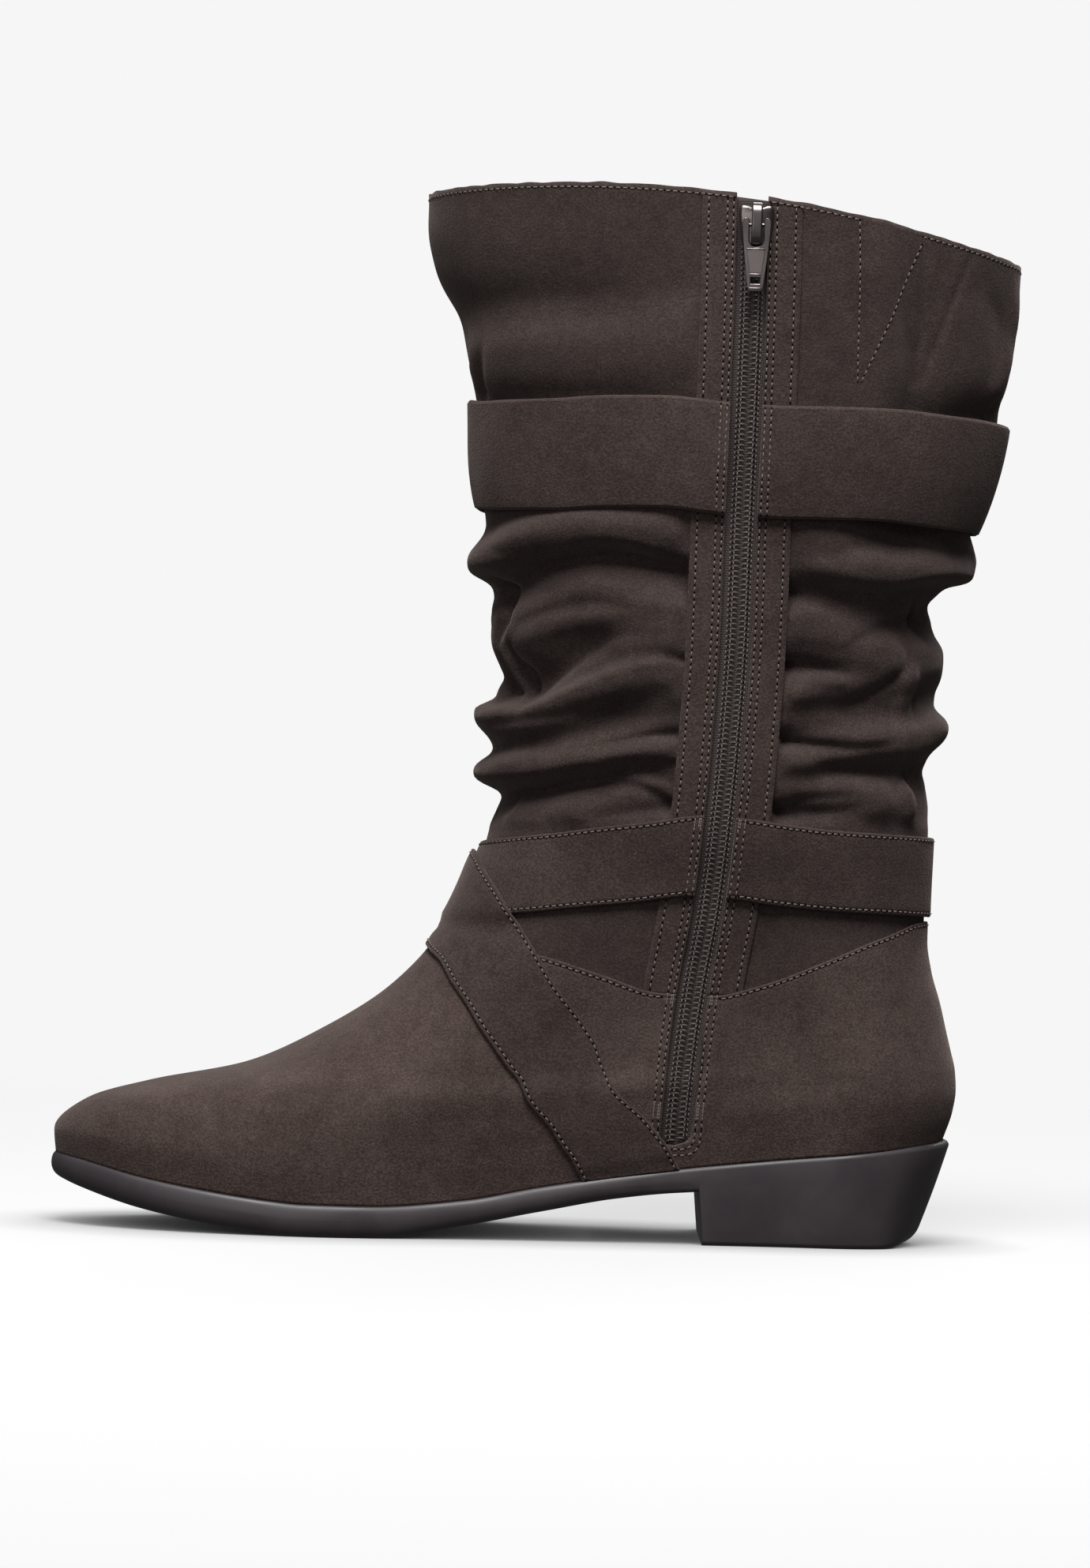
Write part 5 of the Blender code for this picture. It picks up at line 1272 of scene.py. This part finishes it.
def sew_collar(seams):
    """The row along the collar, from the zip round the leg, left out over the stretch gore."""
    low = np.array([COLLAR_HEIGHT - 5 * MM])
    beside = ZIP_GAP / 2 + 0.5 * MM
    back, front = [zip_spots(np.array([side * beside]), low)[0][0] for side in (1, -1)]
    left, right = [spot_on_inner_side(np.array([x * MM]), np.array([z * MM]))[0][0] for x, z in GORE_TOPS]
    guard_edge = ZIP_GAP / 2 + GUARD_WIDTH
    for start, end in ((back, left), (right, front + 2)):
        place = np.linspace(start, end, 400)
        height = height_of(place, np.ones(place.shape)) - COLLAR_SEAM
        points, normals = shaft_spots(place, height)
        x = upper_point(place, up_of(place, height))[:, 0]
        over_guard = 1 - ease(guard_edge, guard_edge + 1 * MM, beside_zip(place, height, x))
        seams.row(points + normals * (over_guard * (GUARD_LIFT + GUARD_THICKNESS))[:, None], normals)


def sew_gore(seams):
    """The two rows of the stretch gore."""
    for line in GORE_LINES:
        knots = np.array(line)
        share = np.linspace(0, 1, len(knots))
        fine = np.linspace(0, 1, 60)
        x, z = [through(share, knots[:, k], fine) * MM for k in range(2)]
        place = spot_on_inner_side(x, z)[0]
        seams.row(*shaft_spots(place, z))


def sew_beside_zip(seams):
    """Two rows along either side of the zip, over cover, guards, strap and band."""
    heights = np.linspace(ZIP_FOOT + ZIP_GAP / 2, COLLAR_HEIGHT - 1.5 * MM, 900)
    for side in (-1, 1):
        for offset in ZIP_SEAMS:
            place, up = zip_spots(side * (ZIP_GAP / 2 + offset), heights)
            lift = along_zip_lift(heights, place)
            points, normals = raised(place, up, lift)
            kept = np.flatnonzero(heights < height_of(place, np.ones(place.shape)) - COLLAR_SEAM)
            steps = np.flatnonzero(np.abs(np.diff(lift)) > 0.5 * MM) + 1
            for part in np.split(kept, np.searchsorted(kept, steps)):
                if len(part) > 8:
                    seams.row(points[part[2:-2]], normals[part[2:-2]])


def sew_guard_edges(seams):
    """The row along each guard's outer edge, where neither strap nor band lies over it."""
    foot = line_height(1, np.array([0.53]))[0]
    heights = np.linspace(foot + 1 * MM, COLLAR_HEIGHT - 1.5 * MM, 700)
    for side in (-1, 1):
        place, up = zip_spots(side * (ZIP_GAP / 2 + GUARD_WIDTH - GUARD_SEAM), heights)
        bare = np.abs(heights - line_height(2, place)) > STRAP_WIDTH / 2 + 0.6 * MM
        bare &= np.abs(heights - line_height(3, place)) > BAND_WIDTH / 2 + 0.6 * MM
        bare &= heights < height_of(place, np.ones(place.shape)) - COLLAR_SEAM
        bare &= heights > line_height(1, place) + 0.6 * MM
        points, normals = raised(place, up, GUARD_LIFT + GUARD_THICKNESS)
        for run in np.split(np.arange(len(bare)), np.flatnonzero(np.diff(bare.astype(int))) + 1):
            if bare[run[0]] and len(run) > 8:
                seams.row(points[run], normals[run])


def sew_zip_foot(seams):
    """The two rows round the zip's foot, with squarish corners."""
    turn = np.linspace(0, math.pi, 60)
    for offset in ZIP_SEAMS:
        radius = ZIP_GAP / 2 + offset
        height = ZIP_FOOT + ZIP_GAP / 2 - radius * np.clip(np.sin(turn), 0, 1) ** 0.6
        aside = np.sign(np.cos(turn)) * np.abs(np.cos(turn)) ** 0.6
        place, up = spot_on_inner_side(zip_x(height) - radius * aside, height)
        seams.row(*raised(place, up, cover_lift(place, height)))


def sew_bar_tacks(seams):
    """Short rows of close stitches near the zip's foot and at the tops of cover and ankle strap."""
    cover_top = float(line_height(1, np.array([0.55]))[0])
    strap_top = float(line_height(2, np.array([0.55]))[0]) + STRAP_WIDTH / 2
    spans = (
        (ZIP_FOOT + 8 * MM, ZIP_FOOT + 12.5 * MM),
        (cover_top - 3 * MM, cover_top),
        (strap_top - 3 * MM, strap_top - 0.3 * MM),
    )
    for low, high in spans:
        heights = np.linspace(low, high, 12)
        for side in (-1, 1):
            for offset in (ZIP_SEAMS[0], ZIP_SEAMS[0] + 0.5 * MM, ZIP_SEAMS[1]):
                place, up = zip_spots(side * (ZIP_GAP / 2 + offset), heights)
                seams.row(*raised(place, up, along_zip_lift(heights, place)), TACK_PITCH)


def sew_straps(seams):
    """The rows along both edges of the ankle strap and of the instep strap."""
    for side in (-1, 1):
        across = side * (STRAP_WIDTH / 2 - EDGE_SEAM)
        place = round_strap_places(2, np.array([across]), 500)[:, 0]
        height = line_height(2, place) + across
        points, normals = seat(place, height, strap_base(place, height) + STRAP_THICKNESS)
        seams.row(points[4:-4], normals[4:-4])
        points, normals = instep_strap_points(np.array([across]), np.full((1, 1), INSTEP_THICKNESS))
        seams.row(points[:, 0], normals[:, 0])


def sew_cover_top(seams):
    """The row along the foot cover's top edge."""
    back = zip_spots(np.array(ZIP_GAP / 2), line_height(1, np.array([0.57])))[0][0]
    front = zip_spots(np.array(-ZIP_GAP / 2), line_height(1, np.array([0.53])))[0][0] + 2
    place = np.linspace(back, front, 500)
    heights = line_height(1, place) - EDGE_SEAM
    points, normals = seat(place, heights, cover_lift(place, heights))
    seams.row(points[4:-4], normals[4:-4])


def sew_seams():
    """All the rows of stitches."""
    seams = Seams()
    rows = (sew_collar, sew_gore, sew_beside_zip, sew_guard_edges, sew_zip_foot, sew_bar_tacks, sew_straps)
    for sew in rows + (sew_cover_top,):
        sew(seams)
    seams.make("seam")


def make_zip_tape():
    """The zip's woven tape behind the opening."""
    heights = np.linspace(ZIP_FOOT - 2 * MM, COLLAR_HEIGHT - 2 * MM, 180)
    offsets = np.linspace(-ZIP_GAP / 2 - 0.3 * MM, ZIP_GAP / 2 + 0.3 * MM, 15)
    place, up = zip_spots(offsets[None, :], heights[:, None] + np.zeros(len(offsets)))
    limit = height_of(place, np.full(place.shape, 0.997))
    up = np.where(heights[:, None] > limit, 0.997, up)
    points = raised(place, up, TAPE_LIFT)[0]
    mesh = welded(surface_mesh("zip_tape_cloth", points))
    piece = add_piece("zip_tape_cloth", mesh, (tape_cloth,), slot="zip_tape", stands_for=("zip_tape",))
    thicken(piece, TAPE_THICKNESS, outside=False)


def zip_frames(heights):
    """Points on the coil's middle, with the directions across it, out of it and along it."""
    place, up = zip_spots(COIL_SHIFT, heights)
    points, out = upper_point(place, up), out_of(place, up)
    along = unit(np.gradient(points, axis=0))
    across = unit(np.cross(along, out))
    return points, across, out, along


def tube_form(line, radius, sides=6):
    """A short tube along a line of local points, closed at both ends."""
    line = np.array(line, float)
    ahead = unit(np.gradient(line, axis=0))
    side = unit(np.cross(ahead, (0.0, 0.0, 1.0)))
    over = np.cross(side, ahead)
    angles = 2 * math.pi * np.arange(sides) / sides
    across = np.cos(angles)[None, :, None] * side[:, None]
    rings = line[:, None] + radius * (across + np.sin(angles)[None, :, None] * over[:, None])
    return rings.reshape(-1, 3), tube_faces(len(line), sides)


def make_coil():
    """The zip's coil: two columns of arched nylon turns, sewn down at their outer ends."""
    heights = np.arange(ZIP_FOOT + 1.6 * MM, SLIDER_TOP, COIL_PITCH)
    points, across, out, along = zip_frames(heights)
    seat_out = out * (TAPE_LIFT + 0.1 * MM)
    half = COIL_HALF_WIDTH
    for name, side in (("coil_front", -1), ("coil_back", 1)):
        line = [(side * half, -0.45 * MM, 0.0), (side * half * 0.97, -0.3 * MM, 0.6 * MM),
                (side * half * 0.84, -0.05 * MM, 1.0 * MM), (side * half * 0.6, 0.12 * MM, 1.15 * MM),
                (side * half * 0.36, 0.05 * MM, 1.0 * MM), (side * half * 0.2, -0.1 * MM, 0.5 * MM)]
        form = tube_form(line, COIL_WIRE / 2)
        shift = along * (COIL_PITCH / 2 if side > 0 else 0.0)
        mesh = copies_mesh(name, form, points + seat_out + shift, across, out, 1.0)
        slots = {"slot": "zip_coil"}
        if side < 0:
            slots["stands_for"] = ("zip_coil",)
        add_piece(name, mesh, (coil_nylon,), **slots)
        for offset, size in ((half * 0.8, 0.42 * MM), (half + 0.55 * MM, 0.4 * MM)):
            lift = seat_out + out * (1.3 * MM if offset < half else 0.25 * MM)
            centres = points + lift + shift + along * COIL_PITCH / 2 + across * side * offset
            sizes = (COIL_PITCH * 0.78, size, size)
            mesh = copies_mesh(name + "_sewing", capsule(), centres, along, out, sizes)
            add_piece(name + "_sewing", mesh, (thread,))


def metal_frame():
    """The pull's axis point and the directions up and out of the slider's shield."""
    place, up = zip_spots(np.array([0.0]), np.array([PULL_AXIS[2]]))
    below = upper_point(place, up - 0.02)[0]
    here = upper_point(place, up)[0]
    lean = math.atan2(below[1] - here[1], here[2] - below[2])
    rise = np.array([0.0, -math.sin(lean), math.cos(lean)])
    return np.array(PULL_AXIS), rise, np.array([0.0, -math.cos(lean), -math.sin(lean)])


def flat_form(shape, loops, front, back, rise, out):
    """Adds a flat body with holes to a bmesh, from loops of (right, above) in millimetres."""
    right = np.array([1.0, 0.0, 0.0])
    edges = []
    for loop in loops:
        verts = [shape.verts.new(PULL_AXIS + (right * x + rise * z + out * front) * MM) for x, z in loop]
        edges += [shape.edges.new((a, b)) for a, b in zip(verts, verts[1:] + verts[:1])]
    made = bmesh.ops.triangle_fill(shape, use_beauty=True, use_dissolve=True, edges=edges)
    faces = [item for item in made["geom"] if isinstance(item, bmesh.types.BMFace)]
    moved = bmesh.ops.extrude_face_region(shape, geom=faces)
    verts = [item for item in moved["geom"] if isinstance(item, bmesh.types.BMVert)]
    bmesh.ops.translate(shape, verts=verts, vec=Vector(out * (back - front) * MM))


def finished_metal(name, shape, body, stands_for):
    """A metal piece with softly rounded edges."""
    mesh = mesh_of(name, shape)
    piece = add_piece(name, mesh, (gunmetal,), body=body, slot="zip_metal", stands_for=stands_for, smooth=40)
    bevel = piece.modifiers.new("edges", "BEVEL")
    bevel.width = 0.2 * MM
    bevel.segments = 2
    bevel.limit_method = "ANGLE"
    bevel.angle_limit = math.radians(40)


def make_slider():
    """The slider: a shield over the coil and a crown that holds the pull."""
    axis, rise, out = metal_frame()
    right = np.array([1.0, 0.0, 0.0])
    shape = bmesh.new()

    def spot(across, above, depth):
        return shape.verts.new(axis + (right * across + rise * above + out * depth) * MM)

    outline = list(SHIELD) + [(-x, z) for x, z in SHIELD[-2:0:-1]]
    shield = [[spot(x * (1 - inset / 5), z * (1 - inset / 6.5), depth) for x, z in outline]
              for inset, depth in SHIELD_RINGS]
    line = np.array(CROWN)
    ahead = unit(np.gradient(line, axis=0))
    aside = np.column_stack([-ahead[:, 1], ahead[:, 0]])
    crown = [[spot(x, z + dz * t, depth + do * t) for x, t in CROWN_SECTION]
             for (z, depth), (dz, do) in zip(line, aside)]
    for rings in (shield, crown):
        join_rings(shape, rings)
        shape.faces.new(rings[0])
        shape.faces.new(rings[-1])
    finished_metal("zip_slider_metal", shape, "boot", ("zip_slider",))


def make_pull():
    """The pull: a tapered fork round the crown's foot with a raised blank panel, a hole and a pin."""
    rise, out = np.array([0.0, 0.0, 1.0]), np.array([0.0, -1.0, 0.0])
    half, middle, depth = PULL_WINDOW
    bend = [(half * math.cos(a), middle - depth * math.sin(a)) for a in np.linspace(0, math.pi, 9)]
    outline = list(PULL_EDGE) + [(-x, z) for x, z in reversed(PULL_EDGE)] + bend[::-1]
    shape = bmesh.new()
    flat_form(shape, (outline, PULL_HOLE), 0.5, -0.5, rise, out)
    for loop, height in PULL_RELIEF:
        flat_form(shape, (loop,), height, 0.3, rise, out)
    turn = Matrix.Translation(PULL_AXIS) @ Matrix.Rotation(math.radians(90), 4, "Y")
    bmesh.ops.create_cone(shape, cap_ends=True, segments=14, radius1=0.5 * MM, radius2=0.5 * MM,
                          depth=4.7 * MM, matrix=turn)
    finished_metal("zip_pull_metal", shape, "pull_tab", ("zip_pull",))


def sole_stations(spans):
    """Girth shares of the sole's stations from toe to heel, with close ones at the heel's breast."""
    length = TOE_REACH + HEEL_REACH
    shares = [(1 - math.cos(math.pi * k / spans)) / 2 for k in range(spans + 1)]
    breast = (TOE_REACH - HEEL_BREAST) / length
    rake = BREAST_RAKE / length
    shares = [share for share in shares if abs(share - breast) > 1.2 * rake]
    shares += [breast - rake / 2, breast - rake / 6, breast + rake / 6, breast + rake / 2]
    return [math.acos(2 * share - 1) / math.pi for share in sorted(shares)]


def plan_ring(stations):
    """The feather edge in plan, from the toe by the inner side and the heel: points, normals and shares."""
    places = [1 - girth for girth in stations] + [1 + girth for girth in reversed(stations[1:-1])]
    points = upper_point(np.array(places), np.zeros(len(places)))
    ahead = np.roll(points, -1, axis=0) - np.roll(points, 1, axis=0)
    normals = unit(np.column_stack([ahead[:, 1], -ahead[:, 0], np.zeros(len(points))]))
    if normals[0, 0] > 0:
        normals = -normals
    shares = (1 + np.cos(math.pi * girth_share(np.array(places))[1])) / 2
    return points, normals, shares


def ring_mesh(name, loops, count):
    """A closed body from rings of points, top ring first, its two ends closed by strips across."""
    shape = bmesh.new()
    rings = [[shape.verts.new(point) for point in loop] for loop in loops]
    total = len(rings[0])
    join_rings(shape, rings)
    for ring in (rings[0], rings[-1]):
        for k in range(count - 1):
            quad = [ring[k], ring[k + 1], ring[(total - k - 1) % total], ring[(total - k) % total]]
            shape.faces.new(list(dict.fromkeys(quad)))
    return mesh_of(name, shape)


def make_sole():
    """The moulded sole and heel in one, satin black, with soft edges."""
    stations = sole_stations(150)
    points, normals, shares = plan_ring(stations)
    breast = (TOE_REACH - HEEL_BREAST) / (TOE_REACH + HEEL_REACH)
    rake = BREAST_RAKE / (TOE_REACH + HEEL_REACH)
    top = sole_top(shares) + 0.45 * MM
    bottom = sole_bottom(shares) * (1 - np.clip((shares - breast + rake / 2) / rake, 0, 1))
    depth = top - bottom
    at_back = ease(0.93, 1.0, shares)
    fore = 1 - ease(breast - 0.12, breast - 0.02, shares)
    margin = SOLE_MARGIN + (HEEL_BACK_MARGIN - SOLE_MARGIN) * at_back + (TOE_MARGIN - SOLE_MARGIN) * fore
    reach = CLEARANCE + COVER_THICKNESS + margin
    taper = SOLE_TAPER + (HEEL_BACK_TAPER - SOLE_TAPER) * at_back
    edge = np.minimum(SOLE_SIDE_ROUND + (HEEL_BACK_ROUND - SOLE_SIDE_ROUND) * at_back, 0.4 * depth)
    edge_in = edge + (2.4 * MM - edge) * fore
    edge_down = edge + (0.46 * depth - edge) * fore
    top_down = SOLE_TOP_ROUND + (0.46 * depth - SOLE_TOP_ROUND) * fore

    def loop(inset, height):
        ring = points + normals * (reach - inset)[:, None]
        ring[:, 2] = height
        return ring

    loops = []
    for a in np.linspace(0, math.pi / 2, 8):
        loops.append(loop(SOLE_TOP_ROUND * (1 - math.sin(a)), top - top_down * (1 - math.cos(a))))
    for f in np.linspace(0, 1, 6)[1:]:
        down = top_down + f * (depth - edge_down - top_down)
        bulge = 0.25 * MM * math.sin(math.pi * f) * (1 - fore)
        loops.append(loop(taper * (down - top_down) - bulge, top - down))
    for a in np.linspace(0, math.pi / 2, 8)[1:]:
        down = depth - edge_down + edge_down * math.sin(a)
        loops.append(loop(taper * (down - top_down) + edge_in * (1 - math.cos(a)), top - down))
    mesh = ring_mesh("moulded_sole", loops, len(stations))
    add_piece("moulded_sole", mesh, (sole_rubber,), slot="outsole", stands_for=("outsole",), smooth=40)


def finish_kept_nodes():
    """Gives the frame's own insole, which stays in sight, the lining's cloth."""
    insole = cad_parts["insole"]
    insole.data.materials.clear()
    insole.data.materials.append(lining)


def stage_material():
    """Pale floor that melts into the backdrop: its glow darkened near the boot as a painted contact shadow, and
    its lit part taking a soft real shadow.
    """
    finish = bpy.data.materials.new("studio_floor")
    finish.use_nodes = True
    tree = finish.node_tree
    shader = tree.nodes["Principled BSDF"]
    shader.inputs["Base Color"].default_value = (0.20, 0.20, 0.20, 1)
    shader.inputs["Roughness"].default_value = 0.9
    shader.inputs["Specular IOR Level"].default_value = 0.0
    shader.inputs["Emission Strength"].default_value = 0.65
    # The floor's glow, darkened by occlusion close to the boot: a painted contact shadow.
    painted_contact_shadow = add_node(tree, "ShaderNodeAmbientOcclusion", {"Distance": 0.035}, samples=12)
    link(tree, painted_contact_shadow.outputs["Color"], shader.inputs["Emission Color"])
    spot = add_node(tree, "ShaderNodeTexCoord").outputs["Object"]
    away = add_node(tree, "ShaderNodeVectorMath", {0: spot}, operation="LENGTH").outputs["Value"]
    link(tree, spread(tree, away, 0.35, 0.9, 1.0, 0.0), shader.inputs["Alpha"])
    return finish


def make_stage():
    """Floor, backdrop and soft lights."""
    shape = bmesh.new()
    bmesh.ops.create_circle(shape, cap_ends=True, segments=64, radius=0.95)
    mesh = bpy.data.meshes.new("floor")
    shape.to_mesh(mesh)
    shape.free()
    floor = put_in_scene("floor", mesh)
    floor.location = (-0.08, 0.0, 0.0)
    mesh.materials.append(stage_material())
    floor.visible_diffuse = False
    floor.visible_glossy = False
    world = bpy.data.worlds.new("studio")
    bpy.context.scene.world = world
    world.use_nodes = True
    tree = world.node_tree
    background = tree.nodes["Background"]
    seen = add_node(tree, "ShaderNodeLightPath").outputs["Is Camera Ray"]
    light = calc(tree, "ADD", calc(tree, "MULTIPLY", seen, FLOOR_GREY - AMBIENT), AMBIENT)
    background.inputs["Color"].default_value = (1, 1, 1, 1)
    link(tree, light, background.inputs["Strength"])
    soft_boxes = (
        ("overhead", (-0.10, -0.80, 1.50), 0.75, 44.0),
        ("front", (-0.50, -1.50, 0.40), 0.8, 5.0),
        ("behind", (0.35, 1.10, 1.10), 0.9, 12.0),
    )
    for name, spot, size, power in soft_boxes:
        lamp = bpy.data.lights.new(name, "AREA")
        lamp.shape = "SQUARE"
        lamp.size = size
        lamp.energy = power
        holder = put_in_scene(name, lamp)
        holder.location = spot
        aim = Vector(LIGHT_AIM) - Vector(spot)
        holder.rotation_euler = aim.to_track_quat("-Z", "Y").to_euler()


def make_camera():
    """The camera at the photograph's angle, level with the shin and rolled a little."""
    roll = math.radians(CAMERA_ROLL)
    data = bpy.data.cameras.new("camera")
    data.sensor_width = 36.0
    data.lens = CAMERA_LENS
    data.clip_start = 0.05
    data.clip_end = 50.0
    camera = put_in_scene("camera", data)
    right = (math.cos(roll), 0.0, math.sin(roll))
    above = (-math.sin(roll), 0.0, math.cos(roll))
    turn = Matrix((right, above, (0.0, -1.0, 0.0))).transposed()
    camera.matrix_world = Matrix.Translation(CAMERA_SPOT) @ turn.to_4x4()
    bpy.context.scene.camera = camera


bpy.context.scene.view_settings.view_transform = "Standard"
make_camera()
make_stage()
make_shaft()
make_cover()
make_guards()
make_round_strap("wide_band", 3, BAND_WIDTH, BAND_THICKNESS, 1.1 * MM, 330, BAND_PUFF, strap_suede,
                 ("upper_band",), 0.35 * MM)
make_round_strap("ankle_strap_suede", 2, STRAP_WIDTH, STRAP_THICKNESS, 0.7 * MM, 300, 0.0, strap_suede,
                 ("ankle_strap",), 0.1 * MM)
make_instep_strap()
make_zip_tape()
make_coil()
make_slider()
make_pull()
make_sole()
sew_seams()
finish_kept_nodes()
